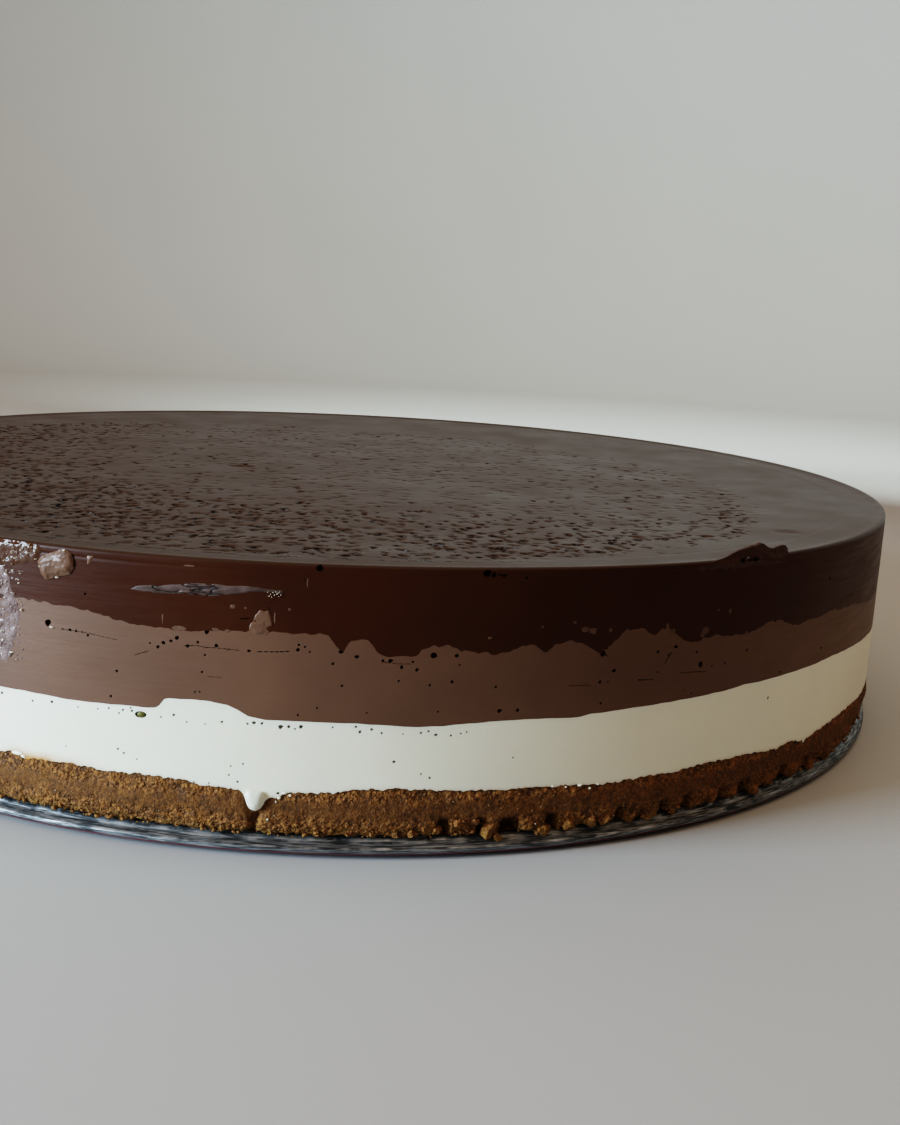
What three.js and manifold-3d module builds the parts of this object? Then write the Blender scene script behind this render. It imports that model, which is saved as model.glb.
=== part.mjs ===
// A three-layer chocolate mousse cake on a crumb base, standing on the base disc of its springform tin.
// Millimetres, +Z up. The origin is on the table under the middle of the disc, and -Y is the front.
// An azimuth is in degrees round +Z: 0 at the front, 90 at +X, 180 at the back.
import * as THREE from "three";
import { mergeVertices } from "three/addons/utils/BufferGeometryUtils.js";
import Module from "manifold-3d";

const wasm = await Module();
wasm.setup();

// ---------- driving dimensions ----------

const CAKE_RADIUS = 120; // a 24 cm springform tin
const TIN_TOP = 3.3; // table to the flat the crumb base was pressed on
const BISCUIT_TOP = 11.1; // table to the top of the crumb base at the side
const WHITE_TOP = 22.1; // table to the top of the white chocolate layer
const MILK_TOP = 33.0; // table to the top of the milk chocolate layer
const RIM_TOP = 45.3; // table to the cake's top edge

const LAYER_GAP = 0.3; // air left between two pieces that touch
const RAGGED_FROM = 100; // radius at which the layers' wavy edges start; inside it they meet on a plane
const FLAT_TO = RAGGED_FROM + 1; // the last ring of a layer that lies on that plane
const FOOD_SEGMENTS = 150; // steps round a food layer
const TIN_SEGMENTS = 90; // steps round the disc

// The top of the dark layer: a fine raised lip where it met the tin's wall, then a shallow dish.
const LIP_HEIGHT = 0.35;
const LIP_RADIUS = 119.3;
const DISH_DEPTH = 1.2;
const DISH_RADIUS = 112;
const DISH_RELIEF = 0.18; // slow unevenness of the dish

// A strip of the top skin, torn up from the rim at the right of the front.
const FLAP_FROM = 33; // azimuths of its two ends
const FLAP_TO = 42.8;
const FLAP_PEAK = 38.9;
const FLAP_ROOT = 1.6; // how deep the strip is rooted in the layer
const FLAP_THICKNESS = 1.0; // at the root; the free edge is thinner
const FLAP_LEAN = 0.9; // how far the free edge leans outwards

// The crumb base: its side is rough, and its foot is broken back where crumbs fell away.
const BISCUIT_RELIEF = 0.35;
const FOOT_BREAKS = 2.2; // how far the foot is broken back at most
const CRUMB_COUNT = 56;
const CRUMB_SIZE = [0.9, 1.5]; // radius of a fused crumb, smallest and largest
const CRUMB_REACH = 121.7; // no crumb stands out further than this

// The disc of the tin: thin sheet with a raised middle and a rolled, lacquered edge.
const SHEET = 0.7;
const BEAD_RADIUS = 120.4;
const BEAD_TOP = 1.9;
const FOOT_OUTER = 118.6; // the flat ring that the disc stands on
const FOOT_INNER = 115.8;

// ---------- small helpers ----------

// Seeded pseudo-random numbers from 0 to 1, the same on every run.
function seeded(seed) {
  let state = seed;
  return () => {
    state = (state * 1664525 + 1013904223) % 4294967296;
    return state / 4294967296;
  };
}

const radians = THREE.MathUtils.degToRad;
const smooth = THREE.MathUtils.smoothstep;

// The signed angle from one azimuth to another, -180 to 180.
const turn = (azimuth, from) => ((azimuth - from + 540) % 360) - 180;

// One soft bump on a ring: its height at an azimuth, given its middle and half-width in degrees.
const bump = (azimuth, { at, width, height }) =>
  height * Math.exp(-((turn(azimuth, at) / width) ** 2));

// Closed wavy noise round a ring, between about -1 and 1, from a band of harmonics.
function ringNoise(seed, lowest, highest) {
  const random = seeded(seed);
  const waves = [];
  for (let k = lowest; k <= highest; k += 1 + Math.floor(k / 6)) {
    waves.push({ k, phase: 2 * Math.PI * random(), size: 0.6 + 0.8 * random() });
  }
  const total = Math.sqrt(waves.reduce((sum, w) => sum + w.size ** 2 / 2, 0));
  return (azimuth) =>
    waves.reduce((sum, w) => sum + w.size * Math.sin(w.k * radians(azimuth) + w.phase), 0) /
    (1.6 * total);
}

// ---------- the surfaces between the layers ----------

// A boundary is a tilted plane; near the side it also has its own bumps, steps and raggedness.
function boundary({ level, tilt, tiltTowards, ragged, noise, bumps = [], plateau = null }) {
  return (azimuth, radius) => {
    const plane =
      level + tilt * Math.cos(radians(turn(azimuth, tiltTowards))) * (radius / CAKE_RADIUS);
    const edge = smooth(radius, RAGGED_FROM, CAKE_RADIUS - 1);
    let wave = ragged(azimuth) * noise(azimuth);
    for (const each of bumps) wave += bump(azimuth, each);
    if (plateau) {
      const rise = smooth(turn(azimuth, plateau.from), 0, plateau.riseWidth);
      const fall = smooth(turn(azimuth, plateau.to), -plateau.fallWidth, 0);
      wave += plateau.height * rise * (1 - fall);
    }
    return plane + edge * wave;
  };
}

const biscuitTop = boundary({
  level: BISCUIT_TOP,
  tilt: 0.2,
  tiltTowards: -30,
  ragged: () => 0.35,
  noise: ringNoise(11, 7, 52),
  bumps: [
    { at: -1.5, width: 3.4, height: -1.0 }, // the white layer sags here
    { at: -1.7, width: 1.3, height: -2.2 }, // and ends in one lobe
  ],
});

const whiteTop = boundary({
  level: WHITE_TOP,
  tilt: 0.25,
  tiltTowards: 90,
  ragged: () => 0.12,
  noise: ringNoise(23, 5, 30),
  bumps: [
    { at: 46, width: 17, height: 1.8 }, // the white layer was poured thicker at the right
    { at: 205, width: 30, height: -0.9 },
  ],
  plateau: { from: -9.6, to: -1.8, riseWidth: 1.4, fallWidth: 3, height: 2.0 },
});

// The dark chocolate sank into the milk layer, more and more from the left to the right.
const milkTop = boundary({
  level: MILK_TOP,
  tilt: 2.4,
  tiltTowards: -25,
  ragged: (azimuth) => 0.1 + 0.75 * smooth(Math.abs(turn(azimuth, -22)), 20, 34),
  noise: ringNoise(37, 9, 58),
  bumps: [
    { at: 7.6, width: 3.2, height: -2.3 },
    { at: 14.5, width: 2.6, height: -1.2 },
    { at: 20.6, width: 1.8, height: 0.5 },
    { at: 26.8, width: 2.2, height: 1.5 },
    { at: 31.5, width: 2.2, height: -1.6 },
    { at: 36.6, width: 2.6, height: -1.4 },
    { at: 50, width: 12, height: -0.7 },
    { at: 68, width: 6, height: -1.8 },
    { at: 140, width: 9, height: -1.4 },
    { at: 214, width: 6, height: 1.3 },
    { at: 286, width: 10, height: -1.1 },
  ],
});

const dishNoise = ringNoise(41, 3, 17);

function cakeTop(azimuth, radius) {
  const rim = RIM_TOP + bump(azimuth, { at: 12, width: 26, height: 0.5 });
  const lip = LIP_HEIGHT * Math.exp(-(((radius - LIP_RADIUS) / 1.1) ** 2));
  const dish = DISH_DEPTH * (1 - smooth(radius, DISH_RADIUS * 0.7, CAKE_RADIUS));
  const uneven = DISH_RELIEF * dishNoise(azimuth + 2.3 * radius) * smooth(radius, 0, 60);
  return rim + lip - dish + uneven * (1 - smooth(radius, DISH_RADIUS, CAKE_RADIUS - 3));
}

// ---------- solids ----------

function toSolid(geometry) {
  const bare = geometry.clone();
  bare.deleteAttribute("normal");
  bare.deleteAttribute("uv");
  const merged = mergeVertices(bare, 1e-4);
  return new wasm.Manifold(
    new wasm.Mesh({
      numProp: 3,
      vertProperties: new Float32Array(merged.attributes.position.array),
      triVerts: new Uint32Array(merged.index.array),
    }),
  );
}

// The biggest of a solid's separate bodies: a crumb that ended up loose is dropped.
const largestBody = (solid) =>
  solid.decompose().reduce((best, body) => (body.volume() > best.volume() ? body : best));

function toGeometry(solid) {
  const mesh = solid.getMesh();
  const geometry = new THREE.BufferGeometry();
  geometry.setAttribute("position", new THREE.BufferAttribute(mesh.vertProperties, 3));
  geometry.setIndex(new THREE.BufferAttribute(mesh.triVerts, 1));
  geometry.computeVertexNormals();
  return geometry;
}

// Moves every vertex of a geometry: place(x, y, z) gives the new position.
function reshape(geometry, place) {
  const position = geometry.attributes.position;
  for (let i = 0; i < position.count; i++) {
    const [x, y, z] = place(position.getX(i), position.getY(i), position.getZ(i));
    position.setXYZ(i, x, y, z);
  }
  return geometry;
}

// A lathe splits all its squares one way round. Where the profile runs back inwards they are split
// the other way, so that the facets of two layers lying on each other run parallel.
function matchFacets(lathe, points) {
  const index = lathe.index;
  const steps = points.length - 1;
  for (let square = 0; square * 6 < index.count; square++) {
    const step = square % steps;
    if (points[step + 1].x >= points[step].x) continue;
    const [a, b, d, c] = [0, 1, 2, 3].map((k) => index.getX(square * 6 + k));
    [a, b, c, a, c, d].forEach((vertex, k) => index.setX(square * 6 + k, vertex));
  }
}

// A disc-shaped layer of food. Its profile gives a radius and a share of the height, 0 on the
// surface below and 1 on the surface above; spread(azimuth, share) adds to the radius at the side.
function foodLayer({ profile, below, above, spread = () => 0 }) {
  const points = profile.map(([radius, share]) => new THREE.Vector2(radius, share));
  const lathe = new THREE.LatheGeometry(points, FOOD_SEGMENTS);
  matchFacets(lathe, points);
  reshape(lathe, (x, share, z) => {
    const radius = Math.hypot(x, z);
    const angle = Math.atan2(x, z);
    const azimuth = THREE.MathUtils.radToDeg(angle);
    const low = below(azimuth, radius) + LAYER_GAP / 2;
    const high = above(azimuth, radius) - LAYER_GAP / 2;
    const side = radius > RAGGED_FROM ? radius + spread(azimuth, share) : radius;
    return [side * Math.sin(angle), -side * Math.cos(angle), low + (high - low) * share];
  });
  return toSolid(lathe);
}

// A small angular crumb, squeezed and turned at random, at a place on the side.
function crumb(random, azimuth, height, size) {
  const lump = new THREE.IcosahedronGeometry(size, 0);
  lump.scale(0.8 + 0.3 * random(), 0.8 + 0.4 * random(), 0.75 + 0.3 * random());
  lump.rotateX(Math.PI * random());
  lump.rotateZ(Math.PI * random());
  const radius = Math.min(CAKE_RADIUS - 0.4 + 0.5 * random(), CRUMB_REACH - 1.1 * size);
  const angle = radians(azimuth);
  lump.translate(radius * Math.sin(angle), -radius * Math.cos(angle), height);
  return toSolid(lump);
}

function tinBase() {
  const profile = [
    [0, TIN_TOP - SHEET],
    [FOOT_INNER - 1.4, TIN_TOP - SHEET],
    [FOOT_INNER - 0.6, 0.6],
    [FOOT_INNER, 0],
    [FOOT_OUTER, 0],
    [FOOT_OUTER + 1.1, 0.3],
    [BEAD_RADIUS - 0.1, 0.9],
    [BEAD_RADIUS, 1.4],
    [BEAD_RADIUS - 0.3, BEAD_TOP],
    [BEAD_RADIUS - 0.9, BEAD_TOP + 0.3],
    [BEAD_RADIUS - 1.5, TIN_TOP - 0.4],
    [BEAD_RADIUS - 2.2, TIN_TOP],
    [0, TIN_TOP],
  ];
  const points = profile.map(([radius, height]) => new THREE.Vector2(radius, height));
  const lathe = new THREE.LatheGeometry(points, TIN_SEGMENTS);
  return toSolid(lathe.rotateX(Math.PI / 2));
}

function biscuitBase() {
  const sideNoise = ringNoise(53, 11, 60);
  const middleNoise = ringNoise(59, 11, 60);
  const breakNoise = ringNoise(61, 9, 44);
  // The foot is whole at the front left and more and more broken to the right of the front.
  const broken = (azimuth) => 0.25 + 0.75 * smooth(Math.abs(turn(azimuth, -30)), 28, 50);
  const spread = (azimuth, share) => {
    const rough = share < 0.5 ? sideNoise(azimuth) : middleNoise(azimuth);
    const gap = Math.max(0, breakNoise(azimuth)) * FOOT_BREAKS * broken(azimuth);
    return BISCUIT_RELIEF * rough - (share < 0.1 ? gap : 0);
  };
  let solid = foodLayer({
    profile: [
      [0, 0],
      [FLAT_TO, 0],
      [119.0, 0],
      [119.9, 0.22],
      [120.3, 0.5],
      [120.2, 0.82],
      [119.9, 1],
      [FLAT_TO, 1],
      [0, 1],
    ],
    below: () => TIN_TOP + LAYER_GAP / 2,
    above: biscuitTop,
    spread,
  });

  const random = seeded(71);
  const [smallest, largest] = CRUMB_SIZE;
  const crumbs = [];
  for (let i = 0; i < CRUMB_COUNT; i++) {
    const azimuth = ((i + 0.8 * random()) * 360) / CRUMB_COUNT;
    const size = smallest + (largest - smallest) * random() ** 1.5 * broken(azimuth);
    crumbs.push(crumb(random, azimuth, TIN_TOP + LAYER_GAP + 0.2 + size, size));
  }
  for (const each of crumbs) solid = solid.add(each);
  return largestBody(solid);
}

function whiteLayer() {
  return foodLayer({
    profile: [
      [0, 0],
      [FLAT_TO, 0],
      [119.9, 0],
      [120, 0.5],
      [119.8, 1],
      [FLAT_TO, 1],
      [0, 1],
    ],
    below: biscuitTop,
    above: whiteTop,
  });
}

function milkLayer() {
  return foodLayer({
    profile: [
      [0, 0],
      [FLAT_TO, 0],
      [119.8, 0],
      [119.8, 1],
      [FLAT_TO, 1],
      [0, 1],
    ],
    below: whiteTop,
    above: milkTop,
  });
}

// The flap's height over the rim grows along it, with a peak and then a notch near its end.
const flapHeight = (azimuth) =>
  0.25 * (azimuth - FLAP_FROM) * smooth(azimuth, FLAP_FROM, FLAP_PEAK) +
  bump(azimuth, { at: FLAP_PEAK, width: 1.6, height: 1.4 }) -
  bump(azimuth, { at: FLAP_PEAK + 2, width: 0.8, height: 0.9 }) -
  0.5;

function tornFlap() {
  const strip = new THREE.BoxGeometry(1, 1, 1, 9, 1, 2);
  reshape(strip, (along, across, up) => {
    const azimuth = FLAP_FROM + (along + 0.5) * (FLAP_TO - FLAP_FROM);
    const share = up + 0.5;
    const thickness = FLAP_THICKNESS * (1 - 0.4 * share);
    const radius = LIP_RADIUS - 0.6 + FLAP_LEAN * share ** 2 - across * thickness;
    const height = FLAP_ROOT + Math.max(0.6 - FLAP_ROOT, flapHeight(azimuth));
    const foot = cakeTop(azimuth, LIP_RADIUS) - FLAP_ROOT;
    const angle = radians(azimuth);
    return [radius * Math.sin(angle), -radius * Math.cos(angle), foot + height * share];
  });
  return toSolid(strip);
}

function darkLayer() {
  const layer = foodLayer({
    profile: [
      [0, 0],
      [FLAT_TO, 0],
      [119.8, 0],
      [120, 0.12],
      [120, 0.94],
      [119.7, 1],
      [118.6, 1],
      [116, 1],
      [108, 1],
      [92, 1],
      [66, 1],
      [34, 1],
      [0, 1],
    ],
    below: milkTop,
    above: (azimuth, radius) => cakeTop(azimuth, radius) + LAYER_GAP / 2,
  });
  return layer.add(tornFlap());
}

// ---------- the cake ----------

const cake = new THREE.Group();

function addPiece(name, solid, colour, roughness, metalness = 0) {
  const material = new THREE.MeshStandardMaterial({ color: colour, roughness, metalness });
  const mesh = new THREE.Mesh(toGeometry(solid), material);
  mesh.name = name;
  cake.add(mesh);
}

addPiece("tin_base", tinBase(), "#8d9298", 0.4, 0.9);
addPiece("biscuit_base", biscuitBase(), "#8a5a30", 0.9);
addPiece("white_chocolate_layer", whiteLayer(), "#efe9d2", 0.45);
addPiece("milk_chocolate_layer", milkLayer(), "#7a5140", 0.45);
addPiece("dark_chocolate_layer", darkLayer(), "#3a2018", 0.3);

export default cake;
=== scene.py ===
"""A chocolate mousse cake in three layers on a crumb base, on the base disc of its springform tin.

Lengths in the constants are millimetres and azimuths are degrees round +Z: 0 at the front (-Y),
90 at +X. The frame's solids give each piece its place, and these pieces give it its surface.
Places that end in _SEEN are pixels of the 900 x 1125 view, which on_side() turns into places on
the cake.
"""

import math

import bpy
import numpy as np
from bpy.props import FloatProperty, FloatVectorProperty, IntProperty, PointerProperty
from mathutils import Matrix, Vector


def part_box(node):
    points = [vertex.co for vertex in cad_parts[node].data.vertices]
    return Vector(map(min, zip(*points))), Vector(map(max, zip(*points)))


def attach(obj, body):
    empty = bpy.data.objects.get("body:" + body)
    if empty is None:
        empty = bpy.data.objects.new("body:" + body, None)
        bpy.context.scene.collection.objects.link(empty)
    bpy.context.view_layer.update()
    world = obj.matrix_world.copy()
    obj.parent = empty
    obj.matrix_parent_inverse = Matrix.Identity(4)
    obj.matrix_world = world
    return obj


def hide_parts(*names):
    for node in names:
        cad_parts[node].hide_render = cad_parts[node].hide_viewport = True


bl_info = {
    "name": "Layered Mousse Cake",
    "version": (1, 0, 0),
    "blender": (4, 5, 0),
    "location": "3D View > Sidebar > Cake",
    "description": "Builds a layered chocolate mousse cake on its tin's base disc",
    "category": "Add Mesh",
}

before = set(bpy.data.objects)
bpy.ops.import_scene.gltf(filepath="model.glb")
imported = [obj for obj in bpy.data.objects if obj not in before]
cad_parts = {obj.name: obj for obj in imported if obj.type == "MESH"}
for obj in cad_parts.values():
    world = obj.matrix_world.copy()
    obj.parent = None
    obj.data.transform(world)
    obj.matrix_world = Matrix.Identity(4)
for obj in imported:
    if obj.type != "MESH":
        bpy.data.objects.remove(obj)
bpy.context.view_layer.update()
MM = 0.001

# ---------- the view ----------

VIEW_SIZE = (900, 1125)
VIEW_FOCAL = 1308.6  # focal length in pixels
VIEW_PLACE = (24.12, -306.72, 85.8)  # where the camera stands
VIEW_DOWN = 11.6  # degrees below the horizon
VIEW_ROLL = 3.1  # degrees
SENSOR = 36.0  # the camera's sensor, along the picture's longer side

# ---------- the cake's sizes ----------

# Heights are over the floor.
CAKE_RADIUS = 120.0
TIN_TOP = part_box("tin_base")[1].z / MM
BISCUIT_TOP = 11.1
WHITE_TOP = 22.1
MILK_TOP = 33.0
RIM_TOP = 45.3
RAGGED_FROM = 100.0  # the layers meet on a plane inside this radius
POLE = 0.01  # a profile ends this close to the axis, and its pole is merged

RIM_RISE = (12, 26, 0.5)  # the rim stands higher here: azimuth, half-width in degrees, height
LIP_RADIUS = 119.3
LIP_HEIGHT = 0.35
LIP_WIDTH = 1.1
EDGE_ROUND = 0.45
DISH_DEPTH = 1.2
DISH_RADIUS = 112.0
DISH_FLAT = DISH_RADIUS * 0.7  # the dish is flat inside this radius
DISH_UNEVEN = 0.04
DISH_TWIST = 0.6  # its waves turn by this many degrees for each millimetre outwards
SKIN_RADIUS = 113.5  # the pitted skin of the top reaches this far
SKIN_DIP_FROM = 111.0  # and dips into the rim's own surface from here
SKIN_DIP = 0.4
SKIN_OVER = 0.004  # it lies this much over the rim's surface before that
SKIN_RINGS = (43, 4)  # 43 x 4 rings of the skin's mesh, about 0.66 mm apart
SKIN_FLOOR = 42.9  # the skin's hidden underside
BODY_FLOOR = 42.6  # the dark layer's body under it
BODY_RINGS = (
    119.95, 119.85, 119.7, 119.5, 119.2, 118.8, 118.2, 117.3, 116.2, 114.9, 113.2, 111.4
)  # fmt: skip
COVERED_FROM = 109.5  # inside this radius the body lies under the skin

LAYER_STEPS = 2000  # columns round a layer, about 0.4 mm apart
LAYER_ROW = 0.5  # height of the rows of faces on a layer's side
EDGE_RINGS = (CAKE_RADIUS - 1.2, CAKE_RADIUS - 5)  # rings of faces on a layer's top
DARK_ROW = 0.7  # the same rows on the dark layer
GROOVE_ROW = 0.14  # and in the zone under its rim that holds the groove
GROOVE_ZONE = 2.1
GROOVE = (0.8, 0.2, 0.11)  # how far below the rim, half-width and depth
SWELLING = (1.3, 0.28, 0.03)
BISCUIT_STEPS = 2400
BISCUIT_ROWS = 24
TIN_STEPS = 720
SHARE_HEIGHT = 10  # a body is turned this high, and its heights are then read as shares

# ---------- how the hidden part of the layers' edges runs ----------

# How far an edge tilts, and the azimuth at which it is highest.
BISCUIT_TILT = (0.2, -30)
WHITE_TILT = (0.25, 90)
MILK_TILT = (2.4, -25)
# Bumps and hollows: azimuth, half-width in degrees, height.
WHITE_SAG = (205, 30, -0.9)
MILK_BUMPS = ((140, 9, -1.4), (214, 6, 1.3), (286, 10, -1.1))
MILK_EVEN = (-22, 20, 34)  # its edge is even round this azimuth, and ragged past these angles
WHITE_STEP = (118, 126, 1.4)  # a step up between two azimuths, and its height
HIDDEN_SIDE = (72, 333)  # the azimuths that the view doesn't show

# ---------- the layers' edges at the front, as seen ----------

MILK_EDGE_SEEN = [
    (20, 598), (75, 607), (120, 620), (150, 627), (180, 630), (250, 631), (318, 634), (328, 636),
    (335, 645), (343, 652), (350, 641), (370, 641), (376, 652), (390, 657), (418, 656), (422, 650),
    (432, 646), (450, 646), (462, 651), (500, 654), (513, 650), (520, 646), (535, 645), (545, 652),
    (560, 643), (570, 640), (585, 645), (600, 654), (615, 642), (627, 629), (645, 629), (655, 634),
    (668, 627), (685, 642), (692, 643), (715, 635), (745, 634), (755, 630), (770, 622), (783, 620),
    (795, 625), (820, 616), (835, 609), (860, 603), (872, 600),
]  # fmt: skip
WHITE_EDGE_SEEN = [
    (4, 687), (21, 690), (61, 698), (93, 702.5), (126, 705.5), (156, 708), (160, 705), (164, 699.5),
    (168, 698.5), (190, 699.5), (210, 701.5), (227, 705), (238, 710), (248, 716), (265, 719.5),
    (301, 721.5), (322, 722.5), (364, 724), (385, 725.5), (406, 727), (427, 727), (448, 725.5),
    (470, 723.5), (490, 721.5), (512, 720), (533, 719), (580, 717), (590, 714), (625, 709),
    (658, 704), (690, 698), (723, 691), (744, 684.5), (766, 680), (788, 673), (810, 666),
    (831, 656), (848, 648.5), (864, 638),
]  # fmt: skip
BISCUIT_EDGE_SEEN = [
    (4, 751), (11, 751), (25, 758), (46, 760.5), (70, 763.5), (84, 766), (101, 769), (118, 772),
    (143, 774), (164, 777.5), (185, 780.5), (200, 784.5), (221, 787), (234, 788.5), (240, 790),
    (244, 795), (246, 801), (249, 806), (255, 808.5), (261, 806), (265, 801), (269, 797.5),
    (281, 797), (286, 792), (333, 793.5),
    (350, 789.5), (406, 789.5), (438, 790.5), (470, 790.5), (512, 789.5), (533, 787.5),
    (554, 786.5), (582, 785), (603, 784), (632, 779), (658, 774.5), (680, 770), (712, 761.5),
    (738, 756), (760, 751.5), (777, 748.5), (790, 741), (803, 740), (816, 731), (835, 717),
    (848, 706), (860, 694),
]  # fmt: skip

# ---------- marks at the front, as seen: x, y, width in pixels ----------

MILK_HOLES_SEEN = [
    (48, 623, 7), (63, 629, 2), (70, 630, 3), (76, 631, 3), (82, 632, 2), (88, 635, 3),
    (150, 643, 2.5), (158, 647, 3.4), (164, 643, 4), (171, 641, 3), (177, 638, 4.6), (188, 646, 4),
    (198, 642, 3), (205, 655, 3), (207, 632, 5), (217, 646, 4), (249, 651, 3), (298, 650, 4),
    (117, 671, 3), (111, 696, 3), (202, 672, 3), (195, 692, 2), (200, 692, 2), (299, 645, 2.5),
    (305, 647, 2.5), (310, 652, 2.5), (298, 715, 2.5), (317, 708, 2.5), (333, 664, 3),
    (342, 652, 5), (357, 657, 4), (383, 661, 3.5), (391, 661, 5), (402, 667, 4), (413, 662, 3),
    (417, 670, 3.5), (435, 656, 7), (457, 656, 4), (460, 665, 2), (399, 681, 2.5), (430, 685, 3),
    (452, 682, 4), (342, 686, 2.5), (367, 713, 2), (438, 712, 2), (496, 687, 3), (500, 711, 5),
    (518, 710, 4), (598, 650, 5), (603, 654, 6), (607, 648, 4), (614, 671, 4), (600, 682, 4),
    (608, 682, 2), (601, 703, 3), (640, 680, 3), (658, 652, 3.5), (669, 655, 2.5), (676, 647, 4),
    (691, 693, 2), (697, 652, 3), (701, 664, 7), (725, 663, 3), (747, 650, 3), (780, 672, 3),
    (821, 648, 3), (684, 690, 2), (658, 672, 2), (712, 666, 2),
]  # fmt: skip
DARK_HOLES_SEEN = [
    (85, 594, 2.5), (321, 569, 7), (488, 574, 8), (494, 575, 6), (505, 576, 4), (830, 578, 3.5),
    (527, 578, 3),
]  # fmt: skip
WHITE_HOLES_SEEN = [
    (2, 693, 3), (33, 701, 2.5), (52, 702, 3), (78, 707, 2), (98, 709, 2), (109, 708, 2.5),
    (119, 713, 2.5), (123, 710, 2.5), (131, 708, 2), (132, 711, 2.5), (161, 717, 2), (174, 715, 3),
    (187, 722, 2), (205, 724, 2), (222, 722, 2.5), (248, 724, 2.5), (254, 723, 3.5),
    (262, 723.5, 3), (281, 727, 5), (289, 726.5, 3.5), (295, 729, 2.5), (301, 727, 4),
    (333, 727.5, 2), (356, 727, 2.5), (360, 732, 3.5), (372, 729.5, 3), (382, 733, 2.5),
    (403, 734, 2), (421, 733, 2.5), (429, 731.5, 2.5), (436, 735, 3), (451, 735.5, 2.5),
    (461, 733.5, 2), (467, 732, 2), (513, 757.5, 2), (421, 774, 2), (430, 778, 2.5), (394, 762, 3),
    (194, 782, 2), (209, 783, 2), (231, 766, 2), (243, 764, 2.5), (229, 775, 2), (238, 782, 2.5),
    (278, 793.5, 3), (118, 749, 2.5), (124, 753, 2.5), (137, 759, 2), (66, 746, 2), (768, 698, 3),
]  # fmt: skip
OLIVE_BUBBLE_SEEN = (140.8, 715, 11)  # the dark bubble, whose shade an olive lump inside it paints
OLIVE_SHADE_LUMP = (9.8, 6.6)  # the width and height in pixels of the olive lump that paints the bubble's shade
FOOT_GAPS_SEEN = [
    (443, 834, 9), (482, 838, 7), (510, 838, 16), (552, 832, 10), (620, 826, 8), (664, 812, 8),
    (687, 805, 8), (722, 797, 6), (744, 790, 13), (784, 779, 12), (806, 771, 8),
]  # fmt: skip
SPLIT_SEEN = (253, 822)  # the crack in the biscuit under the white drop
FOOT_CHUNKS_SEEN = [
    (436, 835, 9, 8), (460, 829, 14, 10), (476, 827, 8, 7), (490, 836, 15, 13), (498, 842, 9, 7),
    (530, 830, 14, 12), (545, 834, 13, 13), (570, 829, 12, 10), (592, 826, 12, 10),
    (608, 822, 14, 12), (634, 818, 14, 12), (650, 812, 13, 16), (674, 809, 13, 14),
    (699, 804, 14, 12), (712, 799, 14, 13), (733, 795, 14, 11), (757, 790, 14, 12),
    (770, 784, 12, 10), (796, 773, 15, 11), (812, 766, 12, 10), (828, 756, 10, 9),
    (395, 838, 10, 7), (412, 838, 9, 6), (372, 839, 9, 6), (348, 839, 9, 6),
]  # fmt: skip

# ---------- torn, scraped and moist places at the front, as outlines seen ----------

FLAP_EDGE_SEEN = [
    (692, 566), (699, 564.7), (712, 562), (725, 557), (740, 550.5), (753, 546.3), (758, 545),
    (762, 543), (765, 544.5), (768, 547), (774, 548.5), (779, 546), (783, 545), (786, 545.5),
    (788, 549.5), (787.5, 556),
]  # fmt: skip
FLAP_RADIUS = 119.7
FLAP_FOOT = 1.5  # the flap starts this far below the rim
FLAP_THICKNESS = 0.5
FLAP_GRID = (150, 46)  # columns and rows of its faces
FLAP_HOLLOWS_SEEN = [(744, 560.6, 9), (750, 560, 10), (756, 559.4, 9)]
HOLLOW_FLAT = 0.55  # these hollows' height, in heights of a round bubble
RIM_LUMP_SEEN = [
    (38.6, 561.6), (44, 556.5), (53, 553), (61, 550.4), (66.3, 550), (70.4, 553.5), (73, 559.6),
    (72.7, 568), (70.4, 573), (61, 574.4), (55, 576), (49, 578.2), (46, 577.4), (43, 573),
    (41.3, 568),
]  # fmt: skip
DRIP_SEEN = [(86.7, 556), (93, 556), (91.5, 560), (88.5, 565.5), (85.3, 564.8), (86, 560.5)]
CHUNK_SEEN = [
    (248.8, 629), (250, 624), (252.7, 618.7), (256, 614), (260.3, 609.7), (265.4, 611),
    (268.6, 609), (270.5, 615), (272, 622.5), (273, 626.3), (270.5, 631.4), (266.7, 635),
    (258, 635), (251, 634),
]  # fmt: skip
SCRAPE_SEEN = [
    (129.6, 588.9), (136.6, 585.5), (145.5, 584.9), (162, 584.9), (181, 584.4), (186, 583),
    (199, 583.2), (217, 584.2), (228, 586), (242, 586), (258, 587.4), (267, 589.3), (283, 591),
    (283, 594), (268, 592.5), (255, 591.4), (242, 593), (232, 594.5), (222, 595.7), (208, 597),
    (201.6, 595.7), (191, 595), (186, 593.4), (176, 593.8), (158, 593.6), (145.5, 592),
    (137, 590.6),
]  # fmt: skip
DROP_SEEN = [
    (245, 794), (246.5, 799), (248, 804), (250.5, 807.8), (255.3, 809.6), (260.5, 807.5),
    (263.5, 803), (265, 797), (262, 791), (249, 790),
]  # fmt: skip
SOAKED_SEEN = ((16, 757), (108, 770))  # the caramel edge of the white layer, from and to
MOIST_TOP_SEEN = [
    (-30, 536), (0, 540), (20, 543), (36, 546), (41, 549), (39, 556), (36, 561), (30, 560),
    (24, 562), (14, 564), (5, 564), (-10, 565), (-30, 567),
]  # fmt: skip
MOIST_SMEAR_SEEN = [
    (-30, 562), (3, 566), (9, 577), (12, 590), (17, 602), (21, 615), (18, 630), (13, 645),
    (7, 660), (-30, 664),
]  # fmt: skip
MOIST_LUMPS = 130
MOIST_RIGHT = 25  # the moist lumps reach this far to the right in the view, in pixels
MOIST_WIDTH = 54
MOIST_ROWS = (568, 662)
MOIST_SIZES = (1.5, 6)  # least and most width in pixels
MOIST_FADE = 14  # they shrink over this many pixels towards the right
GLINTS = 44  # wet glints painted as small white lumps, in each zone, which is given by its columns and rows
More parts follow.
